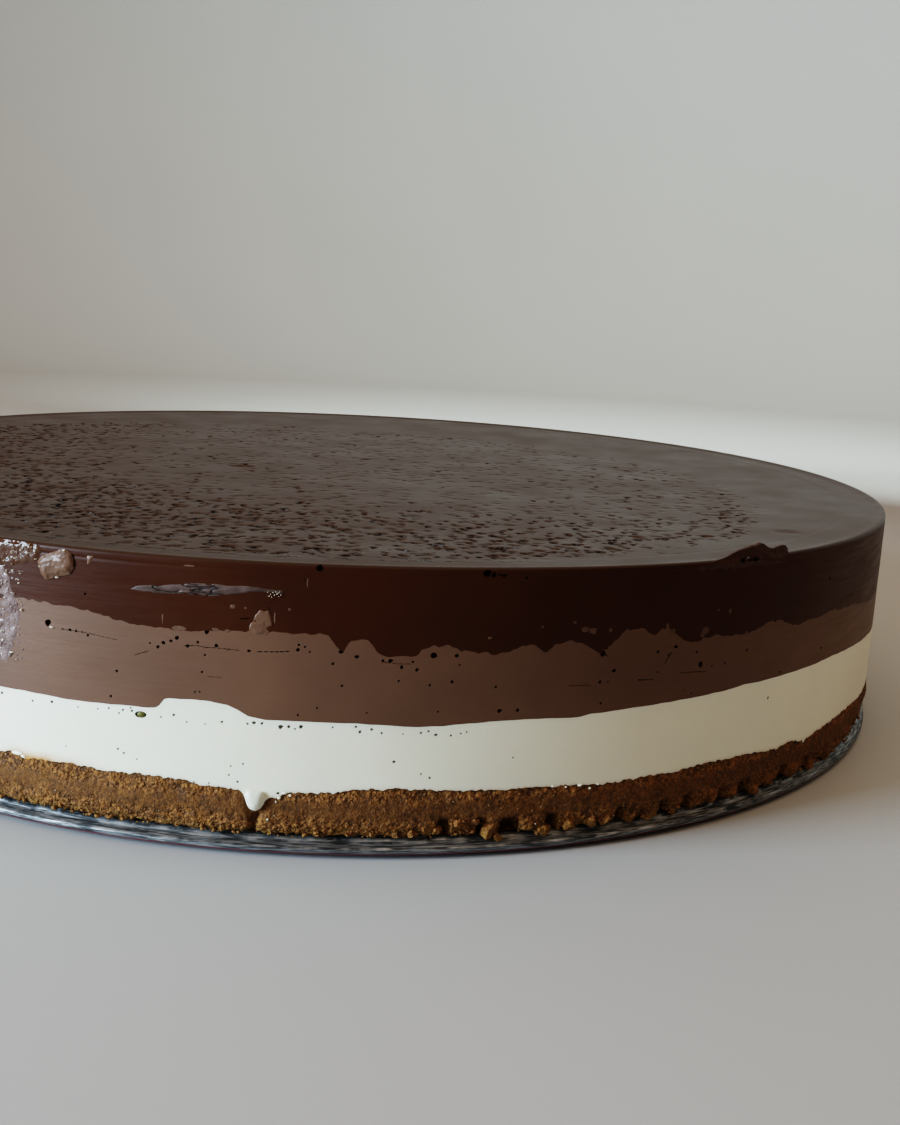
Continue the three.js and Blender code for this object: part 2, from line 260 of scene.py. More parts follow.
GLINT_ZONES_SEEN = [((-8, 37), (544, 561)), ((-12, 22), (562, 660))]
GLINT_SIZES = ((0.8, 2.6), (0.6, 1.3))  # least and most width, least and most height, in pixels

# Small lumps pressed on the side: x, y, width and height in pixels.
MILK_SPECKS_SEEN = [
    (233, 606.5, 5, 4.5), (246, 608, 3, 2.5), (290, 609.7, 3, 3), (162.5, 620, 1.6, 9),
    (180, 628.5, 15, 5), (543, 627, 4, 3), (490, 638, 4, 3), (586, 629, 9, 6), (594, 631, 9, 6),
    (575, 623, 4, 3), (611, 630, 4, 4), (668, 627, 5, 8), (672, 632, 7, 7), (706, 630, 10, 8),
    (703, 635, 6, 5), (718.5, 610.4, 5, 1.6), (730.5, 610.8, 4, 4.5), (746.6, 633, 5, 4),
    (275, 618, 1.4, 12), (190, 565.7, 12, 2), (308, 583, 2, 9), (215, 630, 8, 3), (228, 631, 6, 3),
]  # fmt: skip
WHITE_SPECKS_SEEN = [
    (279, 798, 3.5, 2.5), (285, 793, 5, 3), (276, 802, 2, 2), (290, 796, 3, 2), (553, 786, 4, 2.5),
    (566, 787, 3, 2), (580, 785, 4.5, 3), (590, 788, 3, 2.4), (598, 784, 3, 2.4), (803, 741, 5, 4),
    (18, 753, 14, 4), (24, 756.5, 8, 3.5),
]  # fmt: skip
# Glints painted as tiny white lumps at the right end of the scrape: x and y in pixels.
SPARKS_SEEN = [
    (269.5, 596), (271, 594), (272, 597), (273, 592.5), (274.5, 595), (276, 591.5), (277, 594),
    (278.5, 593), (280, 592), (281, 595), (268, 592), (279, 596.5),
]  # fmt: skip
SPARK_SIZE = (1.0, 0.9)  # width and height in pixels
# Crisp wet glints, painted as small white lumps: x, y, width and height in pixels.
GLINTS_SEEN = [
    (42, 566.5, 7, 1.2), (70.8, 560, 1.4, 7), (64.5, 550.3, 3, 1.8), (57.5, 577, 3.4, 2.2),
    (52.5, 627.2, 5, 1.8), (3, 640, 3, 2.2), (12, 652, 5, 1.4), (22, 610, 2.2, 3), (2, 631, 2, 2),
    (268, 819, 2.4, 2), (36, 551, 2.2, 2.2), (28, 553, 2.4, 1.6),
]  # fmt: skip

# Thin cracks: the pixels that each runs through, and its width in pixels.
MILK_CRACKS_SEEN = [
    ([(61, 629), (70, 630.5), (82, 632), (96, 635)], 0.9),
    ([(96, 635), (106, 637.5), (118, 640)], 0.8),
    ([(184, 646), (196, 645.5), (206, 647.5), (217, 648), (240, 650.5)], 1.0),
    ([(258, 651.7), (275, 652), (290, 651.5)], 1.4),
    ([(149, 651), (141, 653), (135, 655)], 0.9),
    ([(208, 676.5), (222, 677.5)], 0.7),
    ([(664.5, 664), (672, 652)], 1.3),
    ([(638, 680), (653, 679.5)], 1.0),
    ([(569, 686), (590, 685)], 0.8),
    ([(680, 673), (707, 671)], 0.9),
    ([(598, 647), (603, 652), (607, 656)], 2.0),
    ([(384, 662), (398, 664), (412, 664)], 0.9),
]
DARK_CRACKS_SEEN = [
    ([(240, 619), (251, 618)], 1.4),
    ([(268.8, 607), (270.8, 613), (272.5, 620), (273.5, 626)], 1.2),
    ([(304, 579), (309, 584)], 0.9),
    ([(486, 574), (509, 575.5)], 2.0),
]

# Pits in the top: x, y, width in pixels, length towards the middle and depth in millimetres.
TOP_PITS_SEEN = [
    (241, 463, 24, 3.4, 0.5), (786, 534, 26, 5.0, 0.28), (612, 551.7, 7, 1.6, 0.4),
    (625, 557, 4, 1.2, 0.3), (661, 557.5, 5, 1.2, 0.35), (682.5, 558.8, 10, 1.5, 0.45),
    (560, 549, 6, 1.4, 0.4), (128, 546, 8, 1.8, 0.4), (318, 553, 8, 1.6, 0.4),
    (745, 523, 8, 3.5, 0.2), (640, 537, 12, 2.5, 0.35), (700, 540, 10, 2.5, 0.2),
]  # fmt: skip

# ---------- the relief of the top ----------

# The pits end at this distance from a place on the top, which a noise makes ragged, and fade
# out before the rim.
PITS_MIDDLE = (-12 * MM, -16 * MM, 0)
PITS_END = (104, 113)
PITS_RAGGED = 14
PITS_RIM = (113, 116)
# Fine pits thin out and dimples grow shallower towards this place.
CALM_MIDDLE = (20 * MM, 30 * MM, 0)
CALM_TO = (86, 132)
CALM_RAGGED = 20
CALM_PITS = 0.06  # the share of fine pits that is left there
CALM_DIMPLES = 0.5
PIT_SPACING = 1.75
PIT_REACH = (0.26, 0.46)  # the smallest and the widest pit, as shares of their spacing
PIT_DEPTH = 0.5
DIMPLE_SPACING = 3.3
DIMPLE_REACH = (0.08, 0.48)  # flat inside the first share of their spacing, level at the second
DIMPLE_DEPTH = 0.2
SWELL = 0.03  # slow waves, up and down

# ---------- colours and nodes ----------

NOISE = "ShaderNodeTexNoise"
CELLS = "ShaderNodeTexVoronoi"
MATH = "ShaderNodeMath"
VECTOR = "ShaderNodeVectorMath"
RANGE = "ShaderNodeMapRange"
MIX = "ShaderNodeMix"
BUMP = "ShaderNodeBump"
SURFACE = "ShaderNodeBsdfPrincipled"


def linear(colour):
    """An sRGB hex colour, such as "#3a2018", as linear red, green, blue."""
    channels = [int(colour[i : i + 2], 16) / 255 for i in (1, 3, 5)]
    return [c / 12.92 if c <= 0.04045 else ((c + 0.055) / 1.055) ** 2.4 for c in channels]


def rgba(colour):
    return (*linear(colour), 1.0)


def per(length):
    """The scale that gives a noise or cell texture features of this length in millimetres."""
    return 1 / (length * MM)


def add(tree, kind, inputs=(), **settings):
    """Adds a node, sets its properties, fills or links its inputs, and returns its output."""
    node = tree.nodes.new(kind)
    for name, value in settings.items():
        setattr(node, name, value)
    for key, value in dict(inputs).items():
        if isinstance(key, int):
            socket = node.inputs[key]
        else:
            socket = next(s for s in node.inputs if s.enabled and s.name == key)
        if isinstance(value, bpy.types.NodeSocket):
            tree.links.new(value, socket)
        else:
            socket.default_value = value
    return next((s for s in node.outputs if s.enabled), node)


def new_material(name):
    """An empty material: itself, its tree and the object's own coordinates in metres."""
    material = bpy.data.materials.new(name)
    material.use_nodes = True
    tree = material.node_tree
    tree.nodes.clear()
    point = add(tree, "ShaderNodeTexCoord").node.outputs["Object"]
    return material, tree, point


# ---------- mesh tools ----------


def deselect():
    """Leaves edit mode and deselects everything, the frame's own nodes too."""
    if bpy.context.mode != "OBJECT":
        bpy.ops.object.mode_set(mode="OBJECT")
    bpy.ops.object.select_all(action="DESELECT")


def activate(piece):
    deselect()
    piece.select_set(True)
    bpy.context.view_layer.objects.active = piece


def apply_modifiers(piece):
    activate(piece)
    for modifier in list(piece.modifiers):
        bpy.ops.object.modifier_apply(modifier=modifier.name)


def face_outwards(piece):
    activate(piece)
    bpy.ops.object.mode_set(mode="EDIT")
    bpy.ops.mesh.select_all(action="SELECT")
    bpy.ops.mesh.normals_make_consistent(inside=False)
    bpy.ops.object.mode_set(mode="OBJECT")


def places_of(piece):
    """A mesh's vertices as an array of x, y, z in millimetres."""
    flat = np.empty(len(piece.data.vertices) * 3, np.float32)
    piece.data.vertices.foreach_get("co", flat)
    return flat.reshape(-1, 3).astype(float) / MM


def move_vertices(piece, places):
    piece.data.vertices.foreach_set("co", (places * MM).astype(np.float32).ravel())
    piece.data.update()


def lathe(name, profile, steps):
    """Draws a profile of (radius, height) points and turns it round the Z axis.

    The ends of a profile that come within POLE of the axis are closed there."""
    deselect()
    bpy.ops.mesh.primitive_plane_add(size=MM)
    piece = bpy.context.object
    piece.name = piece.data.name = name
    bpy.ops.object.mode_set(mode="EDIT")
    bpy.ops.mesh.merge(type="CENTER")
    start = profile[0]
    bpy.ops.transform.translate(value=(start[0] * MM, 0, start[1] * MM))
    for here, there in zip(profile, profile[1:]):
        step = ((there[0] - here[0]) * MM, 0, (there[1] - here[1]) * MM)
        bpy.ops.mesh.extrude_vertices_move(TRANSFORM_OT_translate={"value": step})
    bpy.ops.object.mode_set(mode="OBJECT")
    screw = piece.modifiers.new("turn", "SCREW")
    screw.steps = screw.render_steps = steps
    screw.use_merge_vertices = True
    screw.merge_threshold = POLE * MM * 3
    apply_modifiers(piece)
    face_outwards(piece)
    return piece


def lift(piece, pattern, along_z=False):
    """Moves a mesh's vertices along their normals by a node pattern, in millimetres."""
    tree = bpy.data.node_groups.new(piece.name + "_relief", "GeometryNodeTree")
    for way in ("INPUT", "OUTPUT"):
        tree.interface.new_socket("Geometry", in_out=way, socket_type="NodeSocketGeometry")
    start = add(tree, "NodeGroupInput")
    point = add(tree, "GeometryNodeInputPosition")
    height = add(tree, MATH, {0: pattern(tree, point), 1: MM}, operation="MULTIPLY")
    if along_z:
        offset = add(tree, "ShaderNodeCombineXYZ", {"Z": height})
    else:
        normal = add(tree, "GeometryNodeInputNormal")
        offset = add(tree, VECTOR, {0: normal, "Scale": height}, operation="SCALE")
    moved = add(tree, "GeometryNodeSetPosition", {"Geometry": start, "Offset": offset})
    add(tree, "NodeGroupOutput", {0: moved})
    modifier = piece.modifiers.new("relief", "NODES")
    modifier.node_group = tree
    apply_modifiers(piece)
    bpy.data.node_groups.remove(tree)


def cut(piece, cutter):
    """Cuts one closed mesh out of another, and removes the cutter."""
    modifier = piece.modifiers.new("cut", "BOOLEAN")
    modifier.operation = "DIFFERENCE"
    modifier.solver = "MANIFOLD"
    modifier.object = cutter
    apply_modifiers(piece)
    bpy.data.objects.remove(cutter)


def finish_piece(piece, materials, node=None, sharp=35):
    """Smooths a piece, gives it its materials, and puts it on the frame."""
    if not piece.data.polygons:
        raise RuntimeError(piece.name + " has no faces")
    activate(piece)
    bpy.ops.object.shade_smooth_by_angle(angle=math.radians(sharp))
    picks = [face.material_index for face in piece.data.polygons] if len(materials) > 1 else None
    piece.data.materials.clear()
    for material in materials:
        piece.data.materials.append(material)
    if picks:
        piece.data.polygons.foreach_set("material_index", picks)
    if node:
        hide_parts(node)
    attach(piece, "root")


def drop_vertices(piece, unwanted):
    """Deletes the vertices that a mask picks."""
    activate(piece)
    bpy.ops.object.mode_set(mode="EDIT")
    bpy.ops.mesh.select_mode(type="VERT")
    bpy.ops.mesh.select_all(action="DESELECT")
    bpy.ops.object.mode_set(mode="OBJECT")
    piece.data.vertices.foreach_set("select", unwanted)
    bpy.ops.object.mode_set(mode="EDIT")
    bpy.ops.mesh.delete(type="VERT")
    bpy.ops.object.mode_set(mode="OBJECT")


def thicken(piece, thickness):
    """Gives a sheet a back, this many millimetres behind its face."""
    modifier = piece.modifiers.new("thickness", "SOLIDIFY")
    modifier.thickness = thickness * MM
    modifier.offset = -1
    apply_modifiers(piece)


def lump_shape(detail):
    """The vertices and triangles of an icosphere of radius 1."""
    deselect()
    bpy.ops.mesh.primitive_ico_sphere_add(subdivisions=detail, radius=MM)
    piece = bpy.context.object
    places = places_of(piece)
    triangles = np.array([list(face.vertices) for face in piece.data.polygons])
    bpy.data.objects.remove(piece)
    return places, triangles


def copies(name, shapes, frames, picks=None):
    """One mesh with a copy of a shape in each 4 x 4 frame, in millimetres.

    The shapes are used in turn, unless picks says which one goes where."""
    if picks is None:
        picks = [index % len(shapes) for index in range(len(frames))]
    corners, faces, start = [], [], 0
    for matrix, pick in zip(frames, picks):
        places, triangles = shapes[pick]
        corners.append(places @ matrix[:3, :3].T + matrix[:3, 3])
        faces.append(triangles + start)
        start += len(places)
    mesh = bpy.data.meshes.new(name)
    mesh.from_pydata(np.concatenate(corners) * MM, [], np.concatenate(faces).tolist())
    piece = bpy.data.objects.new(name, mesh)
    bpy.context.collection.objects.link(piece)
    return piece


# ---------- places round the cake ----------


def turn(azimuth, middle):
    """The signed angle from one azimuth to another, -180 to 180."""
    return (azimuth - middle + 540.0) % 360.0 - 180.0


def smooth(value, low, high):
    t = np.clip((value - low) / (high - low), 0.0, 1.0)
    return t * t * (3.0 - 2.0 * t)


def ridge(value, middle, width, height):
    """A soft ridge across a value: its height there, given its middle and half-width."""
    return height * np.exp(-(((value - middle) / width) ** 2))


def bump(azimuth, middle, width, height):
    """The same round the cake, in degrees."""
    return ridge(turn(azimuth, middle), 0, width, height)


def outside(azimuth, zone):
    """0 round a zone's middle azimuth out to its first angle, 1 past its second."""
    middle, near, far = zone
    return smooth(np.abs(turn(azimuth, middle)), near, far)


def ring_noise(seed, lowest, highest):
    """Closed wavy noise round a ring, between about -1 and 1, from a band of harmonics."""
    state = seed

    def random():
        nonlocal state
        state = (state * 1664525 + 1013904223) % 4294967296
        return state / 4294967296

    waves = []
    k = lowest
    while k <= highest:
        phase = math.tau * random()
        waves.append((k, phase, 0.6 + 0.8 * random()))
        k += 1 + k // 6
    total = math.sqrt(sum(size**2 / 2 for _, _, size in waves))

    def noise(azimuth):
        angle = np.radians(azimuth)
        return sum(size * np.sin(k * angle + phase) for k, phase, size in waves) / (1.6 * total)

    return noise


def knot_noise(seed, knots):
    """Closed noise from -1 to 1 that runs smoothly through random values at even azimuths."""
    values = np.random.default_rng(seed).uniform(-1, 1, knots)

    def noise(azimuth):
        place = (azimuth % 360.0) / 360.0 * knots
        left = np.floor(place).astype(int)
        t = place - left
        t = t * t * (3 - 2 * t)
        return values[left % knots] * (1 - t) + values[(left + 1) % knots] * t

    return noise


def azimuth_of(places):
    return np.degrees(np.arctan2(places[:, 0], -places[:, 1]))


def view_ray(x, y):
    """The way a pixel of the view looks, along X, Y and Z."""
    across, down = x - VIEW_SIZE[0] / 2, y - VIEW_SIZE[1] / 2
    roll, pitch = math.radians(VIEW_ROLL), math.radians(VIEW_DOWN)
    right = (math.cos(roll) * across + math.sin(roll) * down) / VIEW_FOCAL
    up = (math.sin(roll) * across - math.cos(roll) * down) / VIEW_FOCAL
    ahead = math.cos(pitch) + up * math.sin(pitch)
    return right, ahead, up * math.cos(pitch) - math.sin(pitch)


def on_side(x, y, radius=CAKE_RADIUS):
    """Where a pixel of the view meets the cake's side: azimuth, height and mm per pixel."""
    right, ahead, rise = view_ray(x, y)
    start_x, start_y, start_z = VIEW_PLACE
    a = right * right + ahead * ahead
    b = start_x * right + start_y * ahead
    c = start_x**2 + start_y**2 - radius * radius
    far = (-b - math.sqrt(b * b - a * c)) / a
    azimuth = math.degrees(math.atan2(start_x + far * right, -(start_y + far * ahead)))
    return azimuth, start_z + far * rise, far / VIEW_FOCAL


def on_top(x, y):
    """Where a pixel of the view meets the cake's top: x and y in mm, and mm per pixel."""
    right, ahead, rise = view_ray(x, y)
    start_x, start_y, start_z = VIEW_PLACE
    far = (RIM_TOP - 0.5 * DISH_DEPTH - start_z) / rise
    return start_x + far * right, start_y + far * ahead, far / VIEW_FOCAL


def seen_edge(points, hidden, blend=6.0):
    """A height round the ring that follows the seen points, and hidden(azimuth) elsewhere."""
    places = np.array([on_side(x, y)[:2] for x, y in points])
    first, last = places[0, 0], places[-1, 0]

    def height(azimuth):
        azimuth = turn(azimuth, 0)
        seen = np.interp(azimuth, places[:, 0], places[:, 1])
        inside = smooth(azimuth, first - blend, first) * (1 - smooth(azimuth, last, last + blend))
        return seen * inside + hidden(azimuth) * (1 - inside)

    return height


def edge_share(radius):
    """0 where the layers meet on a plane, 1 at the side."""
    return smooth(radius, RAGGED_FROM, CAKE_RADIUS - 1)


BISCUIT_WAVES = ring_noise(11, 7, 52)
BISCUIT_LUMPS = knot_noise(12, 900)
BISCUIT_GRAIN = knot_noise(13, 2100)
WHITE_WAVES = ring_noise(23, 5, 30)
WHITE_FINE = knot_noise(24, 400)
MILK_WAVES = ring_noise(37, 9, 58)
MILK_LOBES = knot_noise(38, 230)
MILK_GRAIN = knot_noise(39, 1100)
DISH_NOISE = ring_noise(41, 3, 17)
FOOT_NOISE = knot_noise(61, 260)
FOOT_FINE = knot_noise(62, 1500)
SIDE_WAVES = ring_noise(53, 11, 60)
FLAP_RAGGED = knot_noise(47, 500)
GROOVE_NOISE = knot_noise(48, 60)


def tilted(level, tilt, azimuth):
    """The height of an edge that tilts: how far, and the azimuth at which it is highest."""
    far, highest = tilt
    return level + far * np.cos(np.radians(turn(azimuth, highest)))


def biscuit_behind(azimuth):
    """The edge of the biscuit on the hidden side, and the same for the layers over it."""
    return tilted(BISCUIT_TOP, BISCUIT_TILT, azimuth) + 0.35 * BISCUIT_WAVES(azimuth)


def white_behind(azimuth):
    level = tilted(WHITE_TOP, WHITE_TILT, azimuth)
    first, last, high = WHITE_STEP
    step = smooth(turn(azimuth, first), 0, 1.5) * (1 - smooth(turn(azimuth, last), -4, 0))
    return level + 0.2 * WHITE_WAVES(azimuth) + bump(azimuth, *WHITE_SAG) + high * step


def milk_behind(azimuth):
    level = tilted(MILK_TOP, MILK_TILT, azimuth)
    ragged = 0.1 + 0.65 * outside(azimuth, MILK_EVEN)
    drips = sum(bump(azimuth, *drip) for drip in MILK_BUMPS)
    return level + ragged * MILK_WAVES(azimuth) + 0.3 * MILK_LOBES(azimuth) + drips


BISCUIT_SIDE = seen_edge(BISCUIT_EDGE_SEEN, biscuit_behind)
WHITE_SIDE = seen_edge(WHITE_EDGE_SEEN, white_behind)
MILK_SIDE = seen_edge(MILK_EDGE_SEEN, milk_behind)


def biscuit_top(azimuth, radius):
    side = BISCUIT_SIDE(azimuth) + 0.16 * BISCUIT_LUMPS(azimuth) + 0.14 * BISCUIT_GRAIN(azimuth)
    return BISCUIT_TOP + edge_share(radius) * (side - BISCUIT_TOP)


def white_top(azimuth, radius):
    side = WHITE_SIDE(azimuth) + 0.06 * WHITE_FINE(azimuth)
    return WHITE_TOP + edge_share(radius) * (side - WHITE_TOP)


def milk_top(azimuth, radius):
    ragged = 0.19 + 0.05 * smooth(turn(azimuth, -2), 0, 14)
    side = MILK_SIDE(azimuth) + ragged * MILK_GRAIN(azimuth) + 0.1 * MILK_LOBES(azimuth)
    return MILK_TOP + edge_share(radius) * (side - MILK_TOP)


def cake_top(azimuth, radius):
    """The top of the dark layer: a lip at the rim round a shallow, slightly uneven dish."""
    rim = RIM_TOP + bump(azimuth, *RIM_RISE)
    lip = ridge(radius, LIP_RADIUS, LIP_WIDTH, LIP_HEIGHT)
    dish = DISH_DEPTH * (1 - smooth(radius, DISH_FLAT, CAKE_RADIUS))
    waves = DISH_NOISE(azimuth + DISH_TWIST * radius)
    uneven = DISH_UNEVEN * waves * smooth(radius, 0, CAKE_RADIUS / 2)
    return rim + lip - dish + uneven * (1 - smooth(radius, DISH_RADIUS, CAKE_RADIUS - 3))


def edge_rounding(radius):
    """How far the rounded rim falls below the top's own surface."""
    t = np.clip((radius - (CAKE_RADIUS - EDGE_ROUND)) / EDGE_ROUND, 0, 1)
    return EDGE_ROUND * (1 - np.sqrt(1 - t * t))


def dark_top(azimuth, radius):
    """The top of the dark layer with its rounded rim."""
    return cake_top(azimuth, radius) - edge_rounding(radius)


def layer_body(name, below, above, shares, rings):
    """A layer as a turned body whose side follows the two surfaces it lies between.

    Its profile holds a share of the height, 0 below and 1 above, in place of a height.
    rings are the radii of the rings on its top, from the side inwards. It returns the piece,
    and the places, azimuths and radii of its vertices, which are still to be moved."""
    floor = [(radius, 0) for radius in (POLE, RAGGED_FROM, *reversed(EDGE_RINGS))]
    side = [(CAKE_RADIUS, SHARE_HEIGHT * share) for share in shares]
    top = [(radius, SHARE_HEIGHT) for radius in (*rings, RAGGED_FROM, POLE)]
    piece = lathe(name, floor + side + top, LAYER_STEPS)
    places = places_of(piece)
    azimuth, radius = azimuth_of(places), np.hypot(places[:, 0], places[:, 1])
    share = places[:, 2] / SHARE_HEIGHT
    low, high = below(azimuth, radius), above(azimuth, radius)
    places[:, 2] = low + (high - low) * share
    return piece, places, azimuth, radius


def set_radius(places, radius):
    """Moves points in or out to a new radius at the same azimuth."""
    old = np.maximum(np.hypot(places[:, 0], places[:, 1]), 1e-9)
    places[:, 0] *= radius / old
    places[:, 1] *= radius / old


# ---------- bubbles, lumps and crumbs ----------


def press(azimuth, height, width, tall, deep, radius=CAKE_RADIUS, lean=0.0):
    """A frame that squeezes a unit lump to a size and sets it on the cake's side."""
    angle, tilt = math.radians(azimuth), math.radians(lean)
    out = np.array([math.sin(angle), -math.cos(angle), 0.0])
    along = np.array([math.cos(angle), math.sin(angle), 0.0])
    up = np.array([0.0, 0.0, 1.0])
    matrix = np.eye(4)
    matrix[:3, 0] = (along * math.cos(tilt) + up * math.sin(tilt)) * width / 2
    matrix[:3, 1] = (up * math.cos(tilt) - along * math.sin(tilt)) * tall / 2
    matrix[:3, 2] = out * deep / 2
    matrix[:3, 3] = out * radius + up * height
    return matrix


BUBBLE_SHAPES = 7
BUBBLE_LENGTH = 1.7  # from its mouth inwards and outwards, in widths
BUBBLE_SUNK = 0.1  # its middle lies this many widths under the surface
BUBBLE_WIDER = 1.05  # a bubble is cut this much wider than it is seen
BUBBLE_FLAT = 0.9  # and this much lower than wide
CRACK_PIECE = 6  # pixels of a crack to each lump
CRACK_OVERLAP = 1.25


def crumb_shapes(count, detail, seed):
    """Several rough lumps of radius about 1, each its own shape."""
    random = np.random.default_rng(seed)
    shapes = []
    for _ in range(count):
        places, triangles = lump_shape(detail)
        waves = random.normal(0, 1, (6, 3)) * 1.9
        phases = random.uniform(0, math.tau, 6)
        rough = np.sin(places @ waves.T + phases).sum(axis=1) / 6
        jitter = random.uniform(-0.12, 0.12, len(places))
        shapes.append((places * (1 + 0.55 * rough + jitter)[:, None], triangles))
    return shapes


def broken_shapes(count, detail, seed):
    """Several lumps of radius about 1 with broken, flattish faces."""
    random = np.random.default_rng(seed)
    shapes = []
    for _ in range(count):
        places, triangles = lump_shape(detail)
        for way in random.normal(0, 1, (12, 3)):
            way = way / np.linalg.norm(way)
            over = places @ way - random.uniform(0.5, 0.85)
            places = places - np.clip(over, 0, None)[:, None] * way * 0.92
        shapes.append((places, triangles))
    return shapes


def tumbled(matrix, random):
    """The same frame with its lump turned at random first."""
    turned = np.eye(4)
    axis = Vector(random.normal(0, 1, 3)).normalized()
    turned[:3, :3] = np.array(Matrix.Rotation(random.uniform(0, math.tau), 3, axis))
    return matrix @ turned


def bubble_cutter(spots):
    """A cutter of uneven bubbles, each at an azimuth and height with a width and a height."""
    frames = []
    for azimuth, height, width, tall in spots:
        radius = CAKE_RADIUS - BUBBLE_SUNK * width
        frames.append(press(azimuth, height, width, tall, width * BUBBLE_LENGTH, radius))
    return copies("bubbles", crumb_shapes(BUBBLE_SHAPES, 2, 76), frames)


def seen_bubbles(spots):
    """Bubbles given by their place and width in the view, in pixels."""
    found = []
    for x, y, across in spots:
        azimuth, height, scale = on_side(x, y)
        width = BUBBLE_WIDER * across * scale
        found.append((azimuth, height, width, width * BUBBLE_FLAT))
    return found


def squashed(spots, share):
    """The same bubbles, flatter."""
    return [(azimuth, height, width, tall * share) for azimuth, height, width, tall in spots]


def hidden_bubbles(seed, count, low, high, widths):
    """Bubbles at random round the back, where no seen ones are given."""
    random = np.random.default_rng(seed)
    found = []
    for _ in range(count):
        azimuth = random.uniform(*HIDDEN_SIDE)
        height = float(low(azimuth) + (high(azimuth) - low(azimuth)) * random.uniform())
        width = widths[0] + (widths[1] - widths[0]) * random.uniform() ** 3
        found.append((azimuth, height, width, width * random.uniform(0.7, 1)))
    return found


def crack_cutter(cracks):
    """A cutter of thin cracks, each a chain of long narrow lumps through places seen."""
    frames = []
    for line, across in cracks:
        for here, there in zip(line, line[1:]):
            pieces = max(1, round(math.dist(here, there) / CRACK_PIECE))
            for part in range(pieces):
                share = (part + 0.5) / pieces
                x, y = (a + (b - a) * share for a, b in zip(here, there))
                azimuth, height, scale = on_side(x, y)
                before, after = on_side(*here), on_side(*there)
                run = math.radians(after[0] - before[0]) * CAKE_RADIUS
                rise = after[1] - before[1]
                length = CRACK_OVERLAP * math.hypot(run, rise) / pieces
                lean = math.degrees(math.atan2(rise, run))
                wide = across * scale
                size = (length, wide, wide * 2)
                frames.append(press(azimuth, height, *size, CAKE_RADIUS, lean))
    return copies("cracks", [lump_shape(2)], frames)


def pressed_lumps(name, spots, shapes, deep, sunk=0.0):
    """Small lumps pressed on the side, each at a pixel with a width and height in pixels."""
    frames = []
    for x, y, across, tall in spots:
        azimuth, height, scale = on_side(x, y)
        size = (across * scale, tall * scale)
        frames.append(press(azimuth, height, *size, deep, CAKE_RADIUS - sunk))
    return copies(name, shapes, frames)


# ---------- patches on the side ----------

PATCH_MARGIN = 0.35  # a patch reaches this far past its outline
PATCH_DIP = 0.12  # and its edge this far under the side's surface
PATCH_BACK = 0.4  # its back lies this far behind its face


def depth_inside(spots, corners):
    """How deep each spot lies inside a closed outline, in millimetres, below 0 outside it."""
    nearest = np.full(len(spots), np.inf)
    inside = np.zeros(len(spots), bool)
    for here, there in zip(corners, np.roll(corners, -1, axis=0)):
        way = there - here
        along = np.clip((spots - here) @ way / (way @ way), 0, 1)
        gap = spots - here - along[:, None] * way
        nearest = np.minimum(nearest, np.hypot(gap[:, 0], gap[:, 1]))
        between = (here[1] > spots[:, 1]) != (there[1] > spots[:, 1])
        rise = way[1] if way[1] else 1e-9
        inside ^= between & (spots[:, 0] < here[0] + (spots[:, 1] - here[1]) * way[0] / rise)
    return np.where(inside, nearest, -nearest)


def grid_sheet(name, columns, rows):
    """A flat sheet of squares, and its vertices' places along it and up it, 0 to 1."""
    deselect()
    bpy.ops.mesh.primitive_grid_add(x_subdivisions=columns, y_subdivisions=rows, size=MM)
    piece = bpy.context.object
    piece.name = piece.data.name = name
    return piece, places_of(piece)[:, :2] + 0.5


def bend_round(piece, azimuth, radius, height):
    """Puts a sheet's vertices at these places round the cake."""
    angle = np.radians(azimuth)
    move_vertices(
        piece, np.column_stack([radius * np.sin(angle), -radius * np.cos(angle), height])
    )


def patch(name, outline, thick, soften, step=0.12, calm=2):
    """A thin sheet on the cake's side, raised inside an outline seen in the view.

    It rises to its thickness over the softening distance, and ends under the side's surface.
    calm is how many times its form is smoothed."""
    corners = np.array([on_side(x, y)[:2] for x, y in outline])
    corners[:, 0] = np.radians(corners[:, 0]) * CAKE_RADIUS
    low, high = corners.min(axis=0) - PATCH_MARGIN, corners.max(axis=0) + PATCH_MARGIN
    columns, rows = (int(count) for count in np.ceil((high - low) / step))
    piece, shares = grid_sheet(name, columns, rows)
    spots = low + shares * (high - low)
    depth = depth_inside(spots, corners)
    raised = (thick + PATCH_DIP) * smooth(depth, -soften, soften) - PATCH_DIP
    bend_round(piece, np.degrees(spots[:, 0] / CAKE_RADIUS), CAKE_RADIUS + raised, spots[:, 1])
    drop_vertices(piece, depth < -PATCH_MARGIN)
    modifier = piece.modifiers.new("calm", "SMOOTH")
    modifier.iterations = calm
    apply_modifiers(piece)
    return piece


def lay_patch(name, form, relief, material, slot, sharp=70, **fineness):
    """A whole patch: form holds its outline, thickness and softening distance."""
    piece = patch(name, *form, **fineness)
    if relief:
        lift(piece, relief)
    thicken(piece, PATCH_BACK)
    finish_piece(piece, [material], sharp=sharp)


# ---------- surface patterns ----------


